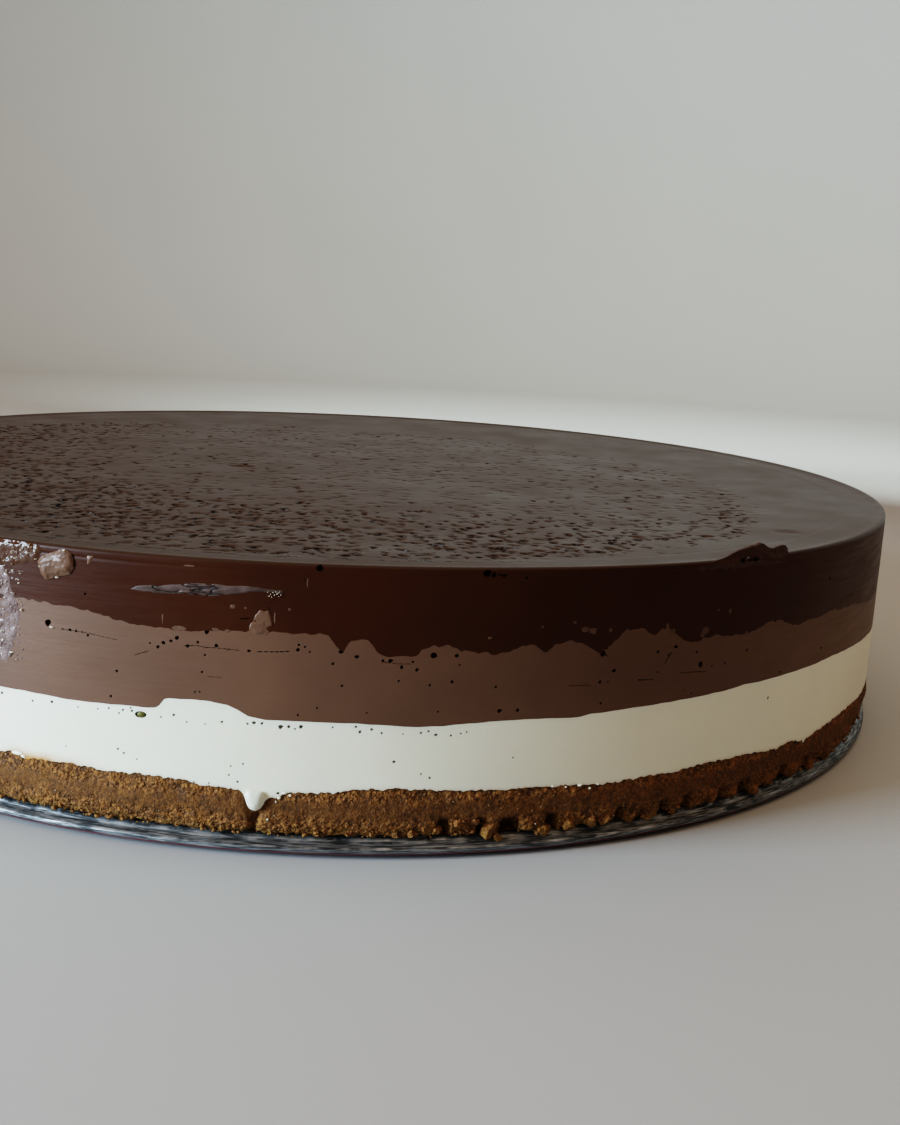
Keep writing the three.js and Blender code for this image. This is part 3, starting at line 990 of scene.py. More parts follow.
def pitting(tree, point):
    """The relief of the top in millimetres: small crisp pits towards the rim, dimples all over."""
    flat = add(tree, VECTOR, {0: point, 1: (1, 1, 0)}, operation="MULTIPLY")
    wander = add(tree, NOISE, {"Vector": flat, "Scale": per(2.4), "Detail": 2.0}).node
    centred = {0: wander.outputs["Color"], 1: (0.5, 0.5, 0.5)}
    centred = add(tree, VECTOR, centred, operation="SUBTRACT")
    warp = (1.6 * MM, 1.6 * MM, 0)
    bent = add(tree, VECTOR, {0: centred, 1: warp, 2: flat}, operation="MULTIPLY_ADD")

    edge = add(tree, NOISE, {"Vector": flat, "Scale": per(16), "Detail": 2.0})
    out = add(tree, VECTOR, {0: flat, 1: PITS_MIDDLE}, operation="DISTANCE").node
    out = {0: edge, 1: PITS_RAGGED * MM, 2: out.outputs["Value"]}
    out = add(tree, MATH, out, operation="MULTIPLY_ADD")
    zone = {0: out, 1: PITS_END[0] * MM, 2: PITS_END[1] * MM, 3: 1.0, 4: 0.0}
    zone = add(tree, RANGE, zone, interpolation_type="SMOOTHSTEP")
    rim = add(tree, VECTOR, {0: flat}, operation="LENGTH").node.outputs["Value"]
    rim = {0: rim, 1: PITS_RIM[0] * MM, 2: PITS_RIM[1] * MM, 3: 1.0, 4: 0.0}
    rim = add(tree, RANGE, rim, interpolation_type="SMOOTHSTEP")
    zone = add(tree, MATH, {0: zone, 1: rim}, operation="MULTIPLY")
    calm = add(tree, VECTOR, {0: flat, 1: CALM_MIDDLE}, operation="DISTANCE").node
    calm = {0: edge, 1: CALM_RAGGED * MM, 2: calm.outputs["Value"]}
    calm = add(tree, MATH, calm, operation="MULTIPLY_ADD")
    outer = {0: calm, 1: CALM_TO[0] * MM, 2: CALM_TO[1] * MM, 3: CALM_PITS, 4: 1.0}
    outer = add(tree, RANGE, outer, interpolation_type="SMOOTHSTEP")

    cells = add(tree, CELLS, {"Vector": bent, "Scale": per(PIT_SPACING), "Randomness": 1.0}).node
    kind = add(tree, "ShaderNodeSeparateXYZ", {0: cells.outputs["Color"]}).node
    wide = add(tree, RANGE, {0: kind.outputs[0], 3: PIT_REACH[0], 4: PIT_REACH[1]})
    narrow = add(tree, MATH, {0: wide, 1: 0.45}, operation="MULTIPLY")
    pit = {0: cells.outputs["Distance"], 1: wide, 2: narrow, 3: 0.0, 4: 1.0}
    pit = add(tree, RANGE, pit, interpolation_type="SMOOTHSTEP")
    there = add(tree, MATH, {0: kind.outputs[1], 1: outer}, operation="LESS_THAN")
    pit = add(tree, MATH, {0: pit, 1: there}, operation="MULTIPLY")

    soft = {"Vector": bent, "Scale": per(DIMPLE_SPACING), "Randomness": 1.0}
    soft = add(tree, CELLS, soft).node.outputs["Distance"]
    dimple = {0: soft, 1: DIMPLE_REACH[1], 2: DIMPLE_REACH[0], 3: 0.0, 4: DIMPLE_DEPTH}
    dimple = add(tree, RANGE, dimple, interpolation_type="SMOOTHSTEP")
    crisp = add(tree, RANGE, {0: outer, 3: CALM_DIMPLES, 4: 1.0})
    dimple = add(tree, MATH, {0: dimple, 1: crisp}, operation="MULTIPLY")
    deep = add(tree, MATH, {0: pit, 1: PIT_DEPTH, 2: dimple}, operation="MULTIPLY_ADD")
    swell = add(tree, NOISE, {"Vector": flat, "Scale": per(9), "Detail": 2.0})
    swell = add(tree, RANGE, {0: swell, 1: 0.0, 2: 1.0, 3: SWELL, 4: -SWELL})
    deep = add(tree, MATH, {0: deep, 1: swell}, operation="ADD")
    return deep, zone


def skin_relief(tree, point):
    """The height of the pitted skin in millimetres, below 0 in its pits."""
    deep, zone = pitting(tree, point)
    height = add(tree, MATH, {0: deep, 1: zone}, operation="MULTIPLY")
    return add(tree, MATH, {0: height, 1: -1.0}, operation="MULTIPLY")


def packed_crumb(tree, point):
    """Where the tin's side pressed the crumb smooth, 0 to 1: a wavering band at half height."""
    height = add(tree, "ShaderNodeSeparateXYZ", {0: point}).node.outputs["Z"]
    waver = add(tree, NOISE, {"Vector": point, "Scale": per(6), "Detail": 3.0, "Roughness": 0.6})
    height = add(tree, MATH, {0: waver, 1: 4.5 * MM, 2: height}, operation="MULTIPLY_ADD")
    risen = {0: height, 1: 7.8 * MM, 2: 9.6 * MM, 3: 0.0, 4: 1.0}
    risen = add(tree, RANGE, risen, interpolation_type="SMOOTHSTEP")
    ended = {0: height, 1: 11.0 * MM, 2: 12.2 * MM, 3: 1.0, 4: 0.0}
    ended = add(tree, RANGE, ended, interpolation_type="SMOOTHSTEP")
    return add(tree, MATH, {0: risen, 1: ended}, operation="MULTIPLY")


def crumb_relief(tree, point):
    """The relief of pressed biscuit crumbs in millimetres: clumps, grains and sandy specks."""
    clumps = add(tree, NOISE, {"Vector": point, "Scale": per(3.0), "Detail": 3.0, "Roughness": 0.6})
    clumps = add(tree, RANGE, {0: clumps, 1: 0.25, 2: 0.75, 3: -0.15, 4: 0.15})
    coarse = add(tree, CELLS, {"Vector": point, "Scale": per(0.9), "Randomness": 1.0})
    coarse = add(tree, RANGE, {0: coarse, 1: 0.0, 2: 0.8, 3: 0.07, 4: -0.08})
    fine = add(tree, CELLS, {"Vector": point, "Scale": per(0.42), "Randomness": 1.0})
    fine = add(tree, RANGE, {0: fine, 1: 0.0, 2: 0.8, 3: 0.08, 4: -0.09})
    grains = add(tree, MATH, {0: coarse, 1: fine}, operation="ADD")
    relief = add(tree, MATH, {0: clumps, 1: grains}, operation="ADD")
    flat = add(tree, RANGE, {0: packed_crumb(tree, point), 3: 1.0, 4: 0.35})
    return add(tree, MATH, {0: relief, 1: flat}, operation="MULTIPLY")


def lump_relief(tree, point):
    """Torn cream in millimetres: soft lumps and small creases."""
    lumps = add(tree, NOISE, {"Vector": point, "Scale": per(1.7), "Detail": 3.0, "Roughness": 0.55})
    lumps = add(tree, RANGE, {0: lumps, 1: 0.3, 2: 0.7, 3: -0.08, 4: 0.16})
    folds = add(tree, CELLS, {"Vector": point, "Scale": per(1.3), "Randomness": 1.0})
    return add(tree, MATH, {0: folds, 1: -0.05, 2: lumps}, operation="MULTIPLY_ADD")


def smear_relief(tree, point):
    """Wet smeared cream in millimetres: shallow ripples in patches, bare between them."""
    ripple = add(tree, NOISE, {"Vector": point, "Scale": per(1.2), "Detail": 3.0, "Roughness": 0.6})
    ripple = add(tree, RANGE, {0: ripple, 1: 0.3, 2: 0.7, 3: -0.04, 4: 0.06})
    bare = add(tree, NOISE, {"Vector": point, "Scale": per(3.5), "Detail": 2.0})
    bare = add(tree, RANGE, {0: bare, 1: 0.5, 2: 0.66, 3: 0.0, 4: -0.1})
    return add(tree, MATH, {0: ripple, 1: bare}, operation="ADD")


def wrinkle_relief(tree, point):
    """Dry film in millimetres: long level wrinkles that split into narrow cracks."""
    level = add(tree, VECTOR, {0: point, 1: (1, 1, 6)}, operation="MULTIPLY")
    bend = add(tree, NOISE, {"Vector": point, "Scale": per(3.0), "Detail": 2.0}).node
    bend = add(tree, VECTOR, {0: bend.outputs["Color"], "Scale": 2.4 * MM}, operation="SCALE")
    level = add(tree, VECTOR, {0: level, 1: bend}, operation="ADD")
    waves = add(tree, NOISE, {"Vector": level, "Scale": per(8), "Detail": 2.0, "Roughness": 0.5})
    ridge = add(tree, MATH, {0: waves, 1: 0.5}, operation="SUBTRACT")
    ridge = add(tree, MATH, {0: ridge}, operation="ABSOLUTE")
    crack = {0: ridge, 1: 0.0, 2: 0.035, 3: -0.1, 4: 0.0}
    crack = add(tree, RANGE, crack, interpolation_type="SMOOTHSTEP")
    swell = add(tree, RANGE, {0: waves, 1: 0.3, 2: 0.7, 3: -0.03, 4: 0.05})
    return add(tree, MATH, {0: crack, 1: swell}, operation="ADD")


# ---------- materials ----------

CREAM_IOR = 1.34  # set cream is mostly water and fat
SCRATCH_WIDTH = 0.08
SCRATCH_BREAKS = 26.0  # how often a scratch changes on its way round, higher is oftener


def spun_steel():
    """Tinned steel sheet, spun and much used: rings of fine scratches, dull grey, dark chips.

    Real scratches are finer than SCRATCH_WIDTH: they are drawn wider, so that they show."""
    material, tree, point = new_material("spun_steel_worn")
    flat = add(tree, VECTOR, {0: point, 1: (1, 1, 0)}, operation="MULTIPLY")
    round_way = add(tree, VECTOR, {0: flat}, operation="NORMALIZE")
    out = add(tree, VECTOR, {0: flat}, operation="LENGTH").node.outputs["Value"]
    height = add(tree, "ShaderNodeSeparateXYZ", {0: point}).node.outputs["Z"]
    across = add(tree, MATH, {0: out, 1: height}, operation="ADD")
    across = add(tree, MATH, {0: across, 1: per(SCRATCH_WIDTH)}, operation="MULTIPLY")
    ring = add(tree, VECTOR, {0: round_way, "Scale": SCRATCH_BREAKS}, operation="SCALE")
    shift = add(tree, "ShaderNodeCombineXYZ", {"Z": across})
    ring = add(tree, VECTOR, {0: ring, 1: shift}, operation="ADD")
    scratches = add(tree, NOISE, {"Vector": ring, "Scale": 1.0, "Detail": 3.0, "Roughness": 0.7})
    wide = add(tree, VECTOR, {0: ring, 1: (1, 1, 0.4)}, operation="MULTIPLY")
    bands = add(tree, NOISE, {"Vector": wide, "Scale": 0.9, "Detail": 2.0})
    dull = add(tree, NOISE, {"Vector": point, "Scale": per(5), "Detail": 4.0, "Roughness": 0.65})
    chips = add(tree, NOISE, {"Vector": ring, "Scale": 0.62, "Detail": 2.0, "Roughness": 0.6})
    chips = add(tree, RANGE, {0: chips, 1: 0.62, 2: 0.68, 3: 0.0, 4: 1.0})
    tone = {"Factor": dull, "A": rgba("#1d2021"), "B": rgba("#4a4f50")}
    tone = add(tree, MIX, tone, data_type="RGBA")
    lines = add(tree, MATH, {0: bands, 1: 0.45, 2: scratches}, operation="MULTIPLY_ADD")
    lines = add(tree, RANGE, {0: lines, 1: 0.65, 2: 0.92, 3: 0.0, 4: 0.85})
    tone = add(tree, MIX, {"Factor": lines, "A": tone, "B": rgba("#b3b9ba")}, data_type="RGBA")
    tone = add(tree, MIX, {"Factor": chips, "A": tone, "B": rgba("#0d0e11")}, data_type="RGBA")
    rough = add(tree, RANGE, {0: lines, 3: 0.52, 4: 0.32})
    steel = add(tree, RANGE, {0: chips, 3: 0.8, 4: 0.0})
    relief = add(tree, MATH, {0: scratches, 1: 0.07}, operation="MULTIPLY")
    relief = add(tree, MATH, {0: chips, 1: -0.06, 2: relief}, operation="MULTIPLY_ADD")
    relief = add(tree, BUMP, {"Height": relief, "Distance": MM, "Strength": 1.0})
    surface = {"Base Color": tone, "Metallic": steel, "Roughness": rough, "Normal": relief}
    surface = add(tree, SURFACE, surface)
    add(tree, "ShaderNodeOutputMaterial", {"Surface": surface})
    return material


def red_lacquer():
    """Baked red lacquer under the disc: smooth, dark, a little glossy."""
    material, tree, point = new_material("red_lacquer")
    wear = add(tree, NOISE, {"Vector": point, "Scale": per(5), "Detail": 4.0})
    tone = {"Factor": wear, "A": rgba("#4a0815"), "B": rgba("#741529")}
    tone = add(tree, MIX, tone, data_type="RGBA")
    rough = add(tree, RANGE, {0: wear, 3: 0.3, 4: 0.5})
    surface = {"Base Color": tone, "Roughness": rough, "Coat Weight": 0.3, "Coat Roughness": 0.2}
    add(tree, "ShaderNodeOutputMaterial", {"Surface": add(tree, SURFACE, surface)})
    return material


def pressed_crumb(name, pale, middle, deep):
    """Crushed biscuit bound with butter: dry, matt, sandy grains in a darker mass, with painted
    shade in its hollows.
    """
    material, tree, point = new_material(name)
    mass = add(tree, NOISE, {"Vector": point, "Scale": per(2.2), "Detail": 4.0, "Roughness": 0.65})
    mass = add(tree, RANGE, {0: mass, 1: 0.32, 2: 0.68, 3: 0.0, 4: 1.0})
    tone = add(tree, MIX, {"Factor": mass, "A": deep, "B": middle}, data_type="RGBA")
    packed = packed_crumb(tree, point)
    loose = add(tree, RANGE, {0: packed, 3: 1.0, 4: 0.35})
    for size, least, most in ((0.62, 0.5, 0.5), (0.3, 0.52, 0.8)):
        grain = {"Vector": point, "Scale": per(size), "Randomness": 1.0}
        grain = add(tree, CELLS, grain).node.outputs["Color"]
        shade = add(tree, "ShaderNodeSeparateXYZ", {0: grain})
        lit = add(tree, RANGE, {0: shade, 1: least, 2: 1.0, 3: 0.0, 4: most})
        lit = add(tree, MATH, {0: lit, 1: loose}, operation="MULTIPLY")
        tone = add(tree, MIX, {"Factor": lit, "A": tone, "B": pale}, data_type="RGBA")
    height = add(tree, "ShaderNodeSeparateXYZ", {0: point}).node.outputs["Z"]
    foot = {0: height, 1: 3.6 * MM, 2: 5.4 * MM, 3: 0.55, 4: 0.0}
    foot = add(tree, RANGE, foot, interpolation_type="SMOOTHSTEP")
    foot = add(tree, MATH, {0: foot, 1: mass}, operation="MULTIPLY")
    tone = add(tree, MIX, {"Factor": foot, "A": tone, "B": rgba("#8a6f3a")}, data_type="RGBA")
    relief = crumb_relief(tree, point)
    # Painted shade: the colour darkens to 0.55 of itself in the hollows of the relief.
    hollow = add(tree, RANGE, {0: relief, 1: -0.3, 2: 0.02, 3: 0.55, 4: 1.03}, clamp=True)
    tone = add(tree, VECTOR, {0: tone, "Scale": hollow}, operation="SCALE")
    fine = add(tree, NOISE, {"Vector": point, "Scale": per(0.2), "Detail": 2.0})
    relief = add(tree, MATH, {0: fine, 1: 0.14, 2: relief}, operation="MULTIPLY_ADD")
    relief = add(tree, BUMP, {"Height": relief, "Distance": MM, "Strength": 0.9})
    rough = add(tree, RANGE, {0: mass, 3: 0.65, 4: 0.9})
    surface = {"Base Color": tone, "Roughness": rough, "Normal": relief, "Specular IOR Level": 0.25}
    add(tree, "ShaderNodeOutputMaterial", {"Surface": add(tree, SURFACE, surface)})
    return material


def sugar_crystal():
    """Sugar grains in the biscuit: clear and faceted, so they glint."""
    material, tree, point = new_material("sugar_crystal")
    cloud = add(tree, NOISE, {"Vector": point, "Scale": per(0.4)})
    tone = {"Factor": cloud, "A": rgba("#75593a"), "B": rgba("#b0936b")}
    tone = add(tree, MIX, tone, data_type="RGBA")
    surface = {"Base Color": tone, "Roughness": 0.12, "IOR": 1.54}
    add(tree, "ShaderNodeOutputMaterial", {"Surface": add(tree, SURFACE, surface)})
    return material


def set_cream(name, tone_low, tone_high, rough, streak_depth, inner=0.0, soaked=None, sheen=0.5):
    """Set chocolate cream cut free of its tin: satin, with faint level drag marks in its side.

    Where the mesh's soak value rises, it takes the soaked tone. sheen is its specular level."""
    material, tree, point = new_material(name)
    level = add(tree, VECTOR, {0: point, 1: (1, 1, 11)}, operation="MULTIPLY")
    drag = add(tree, NOISE, {"Vector": level, "Scale": per(11), "Detail": 4.0, "Roughness": 0.6})
    mottle = add(tree, NOISE, {"Vector": point, "Scale": per(17), "Detail": 3.0})
    mottle = add(tree, RANGE, {0: mottle, 1: 0.3, 2: 0.7, 3: 0.0, 4: 1.0})
    tone = add(tree, MIX, {"Factor": mottle, "A": tone_low, "B": tone_high}, data_type="RGBA")
    if soaked:
        soak = add(tree, "ShaderNodeAttribute", attribute_name="soak").node.outputs["Fac"]
        cloud = add(tree, NOISE, {"Vector": point, "Scale": per(3.0), "Detail": 3.0})
        cloud = add(tree, RANGE, {0: cloud, 1: 0.3, 2: 0.7, 3: 0.7, 4: 1.2})
        soak = add(tree, MATH, {0: soak, 1: cloud}, operation="MULTIPLY")
        tone = add(tree, MIX, {"Factor": soak, "A": tone, "B": soaked}, data_type="RGBA")
    gloss = add(tree, RANGE, {0: drag, 1: 0.3, 2: 0.7, 3: rough - 0.05, 4: rough + 0.09})
    fine = add(tree, NOISE, {"Vector": point, "Scale": per(0.7), "Detail": 2.0})
    fine = add(tree, MATH, {0: fine, 1: 0.012}, operation="MULTIPLY")
    relief = add(tree, MATH, {0: drag, 1: streak_depth, 2: fine}, operation="MULTIPLY_ADD")
    relief = add(tree, BUMP, {"Height": relief, "Distance": MM, "Strength": 1.0})
    surface = {
        "Base Color": tone,
        "Roughness": gloss,
        "Normal": relief,
        "Subsurface Weight": inner,
        "Subsurface Radius": (1.0, 0.8, 0.6),
        "Subsurface Scale": 1.5 * MM,
        "IOR": CREAM_IOR,
        "Specular IOR Level": sheen,
    }
    add(tree, "ShaderNodeOutputMaterial", {"Surface": add(tree, SURFACE, surface)})
    return material


def bubble_painted_shade(name, tone):
    """The inside of bubbles and cracks: matt, in a darkened copy of the cream's colour that paints
    their shade.
    """
    material, tree, point = new_material(name)
    cloud = add(tree, NOISE, {"Vector": point, "Scale": per(0.5), "Detail": 2.0})
    shade = add(tree, RANGE, {0: cloud, 3: 0.8, 4: 1.2})
    tone = add(tree, VECTOR, {0: tone[:3], "Scale": shade}, operation="SCALE")
    surface = {"Base Color": tone, "Roughness": 0.5, "IOR": CREAM_IOR}
    add(tree, "ShaderNodeOutputMaterial", {"Surface": add(tree, SURFACE, surface)})
    return material


def torn_cream(name, tone_low, tone_high, rough, grain=0.9):
    """Set cream torn by a knife or the tin: moist, lumpy, glossier than its smooth side.

    grain is the size of its creases in millimetres."""
    material, tree, point = new_material(name)
    mottle = add(tree, NOISE, {"Vector": point, "Scale": per(2.0), "Detail": 4.0})
    mottle = add(tree, RANGE, {0: mottle, 1: 0.3, 2: 0.7, 3: 0.0, 4: 1.0})
    tone = add(tree, MIX, {"Factor": mottle, "A": tone_low, "B": tone_high}, data_type="RGBA")
    gloss = add(tree, RANGE, {0: mottle, 3: rough + 0.08, 4: rough - 0.04})
    relief = add(tree, NOISE, {"Vector": point, "Scale": per(grain), "Detail": 2.0})
    relief = add(tree, MATH, {0: relief, 1: 0.08 * grain}, operation="MULTIPLY")
    relief = add(tree, BUMP, {"Height": relief, "Distance": MM, "Strength": 1.0})
    surface = {"Base Color": tone, "Roughness": gloss, "Normal": relief, "IOR": CREAM_IOR}
    add(tree, "ShaderNodeOutputMaterial", {"Surface": add(tree, SURFACE, surface)})
    return material


def dried_film():
    """Dark cream rubbed thin against the tin and dried: dull brownish grey with dark cracks."""
    material, tree, point = new_material("dried_cream_film")
    relief = wrinkle_relief(tree, point)
    cloud = add(tree, NOISE, {"Vector": point, "Scale": per(2.6), "Detail": 4.0})
    cloud = add(tree, RANGE, {0: cloud, 1: 0.35, 2: 0.65, 3: 0.0, 4: 1.0})
    tone = {"Factor": cloud, "A": rgba("#37281f"), "B": rgba("#5c4b44")}
    tone = add(tree, MIX, tone, data_type="RGBA")
    hollow = add(tree, RANGE, {0: relief, 1: -0.08, 2: -0.01, 3: 0.3, 4: 1.0})
    tone = add(tree, VECTOR, {0: tone, "Scale": hollow}, operation="SCALE")
    relief = add(tree, BUMP, {"Height": relief, "Distance": MM, "Strength": 1.0})
    surface = {"Base Color": tone, "Roughness": 0.5, "Normal": relief, "IOR": CREAM_IOR}
    add(tree, "ShaderNodeOutputMaterial", {"Surface": add(tree, SURFACE, surface)})
    return material


def pitted_skin(name, tone_low, tone_high, rough):
    """The skin that the dark cream formed as it set: satin, with small pits. A greyish painted sheen
    is mixed into its colour, and painted shade darkens its pits.
    """
    material, tree, point = new_material(name)
    mottle = add(tree, NOISE, {"Vector": point, "Scale": per(12), "Detail": 3.0})
    tone = add(tree, MIX, {"Factor": mottle, "A": tone_low, "B": tone_high}, data_type="RGBA")
    # Painted sheen: half the colour is a greyish brown that stands for the room reflected in the
    # top.
    painted_grey_sheen = {"Factor": 0.5, "A": tone, "B": rgba("#30261d")}
    tone = add(tree, MIX, painted_grey_sheen, data_type="RGBA")
    gloss = add(tree, RANGE, {0: mottle, 1: 0.3, 2: 0.7, 3: rough - 0.03, 4: rough + 0.05})
    fine = add(tree, NOISE, {"Vector": point, "Scale": per(0.9), "Detail": 3.0, "Roughness": 0.6})
    relief = skin_relief(tree, point)
    # Painted shade: the colour falls to 0.12 of itself in the deepest pits.
    hollow = add(tree, RANGE, {0: relief, 1: -0.32, 2: -0.04, 3: 0.12, 4: 1.0})
    tone = add(tree, VECTOR, {0: tone, "Scale": hollow}, operation="SCALE")
    relief = add(tree, MATH, {0: fine, 1: 0.02, 2: relief}, operation="MULTIPLY_ADD")
    relief = add(tree, BUMP, {"Height": relief, "Distance": MM, "Strength": 1.0})
    surface = {
        "Base Color": tone,
        "Roughness": gloss,
        "Normal": relief,
        "IOR": CREAM_IOR,
        "Specular IOR Level": 0.37,
    }
    add(tree, "ShaderNodeOutputMaterial", {"Surface": add(tree, SURFACE, surface)})
    return material


def painted_board(floor, wall):
    """Matt painted board, greyer on the floor by the cake than further out and on the wall."""
    material, tree, point = new_material("painted_board_matt")
    cloud = add(tree, NOISE, {"Vector": point, "Scale": per(160), "Detail": 3.0})
    flat = add(tree, VECTOR, {0: point, 1: (1, 1, 0)}, operation="MULTIPLY")
    out = add(tree, VECTOR, {0: flat}, operation="LENGTH").node.outputs["Value"]
    far = {0: out, 1: 230 * MM, 2: 400 * MM, 3: 0.0, 4: 1.0}
    far = add(tree, RANGE, far, interpolation_type="SMOOTHSTEP")
    tone = add(tree, MIX, {"Factor": far, "A": floor, "B": wall}, data_type="RGBA")
    shade = add(tree, RANGE, {0: cloud, 3: 0.97, 4: 1.03})
    tone = add(tree, VECTOR, {0: tone, "Scale": shade}, operation="SCALE")
    surface = {"Base Color": tone, "Roughness": 0.6, "Specular IOR Level": 0.3}
    add(tree, "ShaderNodeOutputMaterial", {"Surface": add(tree, SURFACE, surface)})
    return material


# ---------- what a user would change ----------


class CakeColours(bpy.types.PropertyGroup):
    """The colours of the cake's creams, its crumb and the stage."""

    dark: FloatVectorProperty(
        name="Dark chocolate",
        description="Colour of the dark chocolate cream",
        subtype="COLOR",
        min=0,
        max=1,
        default=linear("#3a1c0a"),
    )
    milk: FloatVectorProperty(
        name="Milk chocolate",
        description="Colour of the milk chocolate cream",
        subtype="COLOR",
        min=0,
        max=1,
        default=linear("#634938"),
    )
    white: FloatVectorProperty(
        name="White chocolate",
        description="Colour of the white chocolate cream",
        subtype="COLOR",
        min=0,
        max=1,
        default=linear("#f3f1da"),
    )
    crumb: FloatVectorProperty(
        name="Biscuit",
        description="Colour of the pressed biscuit crumb",
        subtype="COLOR",
        min=0,
        max=1,
        default=linear("#6e4a25"),
    )
    floor: FloatVectorProperty(
        name="Floor",
        description="Colour of the floor",
        subtype="COLOR",
        min=0,
        max=1,
        default=linear("#b2b7b6"),
    )
    wall: FloatVectorProperty(
        name="Wall",
        description="Colour of the wall that the floor sweeps up into",
        subtype="COLOR",
        min=0,
        max=1,
        default=linear("#958e86"),
    )


class CakeDetail(bpy.types.PropertyGroup):
    """How many small marks the cake has, and the power of its lights."""

    milk_bubbles: IntProperty(
        name="Milk bubbles",
        description="Bubbles in the hidden part of the milk chocolate layer",
        default=210,
        min=0,
        max=1000,
    )
    white_bubbles: IntProperty(
        name="White bubbles",
        description="Bubbles in the hidden part of the white chocolate layer",
        default=150,
        min=0,
        max=1000,
    )
    crumbs: IntProperty(
        name="Crumbs",
        description="Loose crumbs round the foot of the biscuit base",
        default=900,
        min=0,
        max=2000,
    )
    sugar: IntProperty(
        name="Sugar grains",
        description="Sugar grains on the biscuit base",
        default=900,
        min=0,
        max=4000,
    )
    key_power: FloatProperty(
        name="Window light",
        description="Power of the window light at the left",
        default=16.0,
        min=0,
        unit="POWER",
    )
    wall_power: FloatProperty(
        name="Wall light",
        description="Power of the light on the wall behind",
        default=9.1,
        min=0,
        unit="POWER",
    )


def colour_of(name, strength=1.0):
    """One of the user's colours with its brightness scaled, as red, green, blue and alpha."""
    colour = getattr(bpy.context.scene.cake_colours, name)
    return (*(min(1.0, channel * strength) for channel in colour), 1.0)


# ---------- the pieces ----------

TIN_PROFILE = [
    (POLE, 3.3), (116.0, 3.3), (117.8, 3.3), (118.3, 3.22), (118.75, 3.0), (119.0, 2.75),
    (119.15, 2.5), (119.4, 2.3), (119.8, 2.14), (120.15, 1.95), (120.35, 1.68), (120.4, 1.4),
    (120.36, 1.15), (120.2, 0.92), (119.9, 0.76), (119.4, 0.66), (118.6, 0.6), (117.7, 0.52),
    (117.1, 0.32), (116.7, 0.08), (116.4, 0.0), (115.9, 0.0), (115.45, 0.2), (115.15, 0.65),
    (114.85, 1.4), (114.5, 2.1), (113.9, 2.5), (112.9, 2.6), (POLE, 2.6),
]  # fmt: skip
TIN_FOOT = 115.9  # the inner radius of the ring that the disc stands on
LACQUER_BELOW = 1.2  # the rolled rim is lacquered below this height


class CAKE_OT_tin_disc(bpy.types.Operator):
    """The base disc of the springform tin, with a rolled rim, steel above and lacquer below"""

    bl_idname = "cake.tin_disc"
    bl_label = "Tin disc"

    def execute(self, context):
        piece = lathe("tin_disc", TIN_PROFILE, TIN_STEPS)
        for face in piece.data.polygons:
            low = face.center.z / MM < LACQUER_BELOW or face.normal.z < -0.5
            inner = math.hypot(face.center.x, face.center.y) / MM < TIN_FOOT
            face.material_index = int(low or (inner and face.normal.z < 0.1))
        finish_piece(piece, [spun_steel(), red_lacquer()], "tin_base", 50)
        return {"FINISHED"}


# The biscuit's side: radii at shares of its height.
BISCUIT_FORM = ([0, 0.22, 0.5, 0.82, 1], [119.2, 119.9, 120.1, 120.0, 119.85])
FOOT_WHOLE = (-30, 30, 52)  # the foot is whole round this azimuth, worn past these angles
FOOT_SEEN = (20, 42, 50)  # and round this one it only has the gaps that are seen
FOOT_UNDERCUT = 2.8  # how far the foot has crumbled back where a gap is
SPLIT_WIDTH = 0.35  # degrees
SPLIT_DEPTH = 1.5


def foot_gap(azimuth):
    """How far the biscuit's foot has crumbled away at an azimuth, 0 to 1."""
    worn = smooth(FOOT_NOISE(azimuth), 0.35, 0.8) * outside(azimuth, FOOT_SEEN)
    gap = outside(azimuth, FOOT_WHOLE) * worn
    for x, y, across in FOOT_GAPS_SEEN:
        middle, _, scale = on_side(x, y)
        half = math.degrees(across * scale / 2 / CAKE_RADIUS)
        gap = np.maximum(gap, 1 - smooth(np.abs(turn(azimuth, middle)), half * 0.7, half * 1.5))
    return gap


def biscuit_radius(azimuth, share):
    """The radius of the biscuit's side before its grain."""
    side = np.interp(share, *BISCUIT_FORM)
    side = side + 0.2 * SIDE_WAVES(azimuth + 7 * share) * np.minimum(1, 4 * (1 - share))
    undercut = (1 - smooth(share, 0.16, 0.42)) * foot_gap(azimuth)
    split, _, _ = on_side(*SPLIT_SEEN)
    crack = bump(azimuth, split + 0.5 * (share - 0.4), SPLIT_WIDTH, SPLIT_DEPTH)
    return side - FOOT_UNDERCUT * undercut - crack * (1 - smooth(share, 0.6, 0.9))


class CAKE_OT_crumb_base(bpy.types.Operator):
    """The pressed biscuit base, with its ragged foot and the grain of its crumbs"""

    bl_idname = "cake.crumb_base"
    bl_label = "Crumb base"

    def execute(self, context):
        rows = range(BISCUIT_ROWS + 1)
        side = [(CAKE_RADIUS, SHARE_HEIGHT * row / BISCUIT_ROWS) for row in rows]
        rings = (CAKE_RADIUS - 1.5, CAKE_RADIUS - 4, RAGGED_FROM, POLE)
        floor = [(radius, 0) for radius in reversed(rings)]
        top = [(radius, SHARE_HEIGHT) for radius in rings]
        piece = lathe("crumb_base", floor + side + top, BISCUIT_STEPS)
        places = places_of(piece)
        azimuth, radius = azimuth_of(places), np.hypot(places[:, 0], places[:, 1])
        share = places[:, 2] / SHARE_HEIGHT
        low = TIN_TOP + 0.25 * (1 + FOOT_FINE(azimuth)) * smooth(radius, 112, 119)
        places[:, 2] = low + (biscuit_top(azimuth, radius) - low) * share
        outer = radius > CAKE_RADIUS - 0.5
        set_radius(places, np.where(outer, biscuit_radius(azimuth, share), radius))
        move_vertices(piece, places)
        lift(piece, crumb_relief)
        crumb = pressed_crumb(
            "pressed_biscuit_crumb",
            colour_of("crumb", 2.25),
            colour_of("crumb", 0.82),
            colour_of("crumb", 0.42),
        )
        finish_piece(piece, [crumb], "biscuit_base", 80)
        return {"FINISHED"}


CRUMB_SHAPES = 8
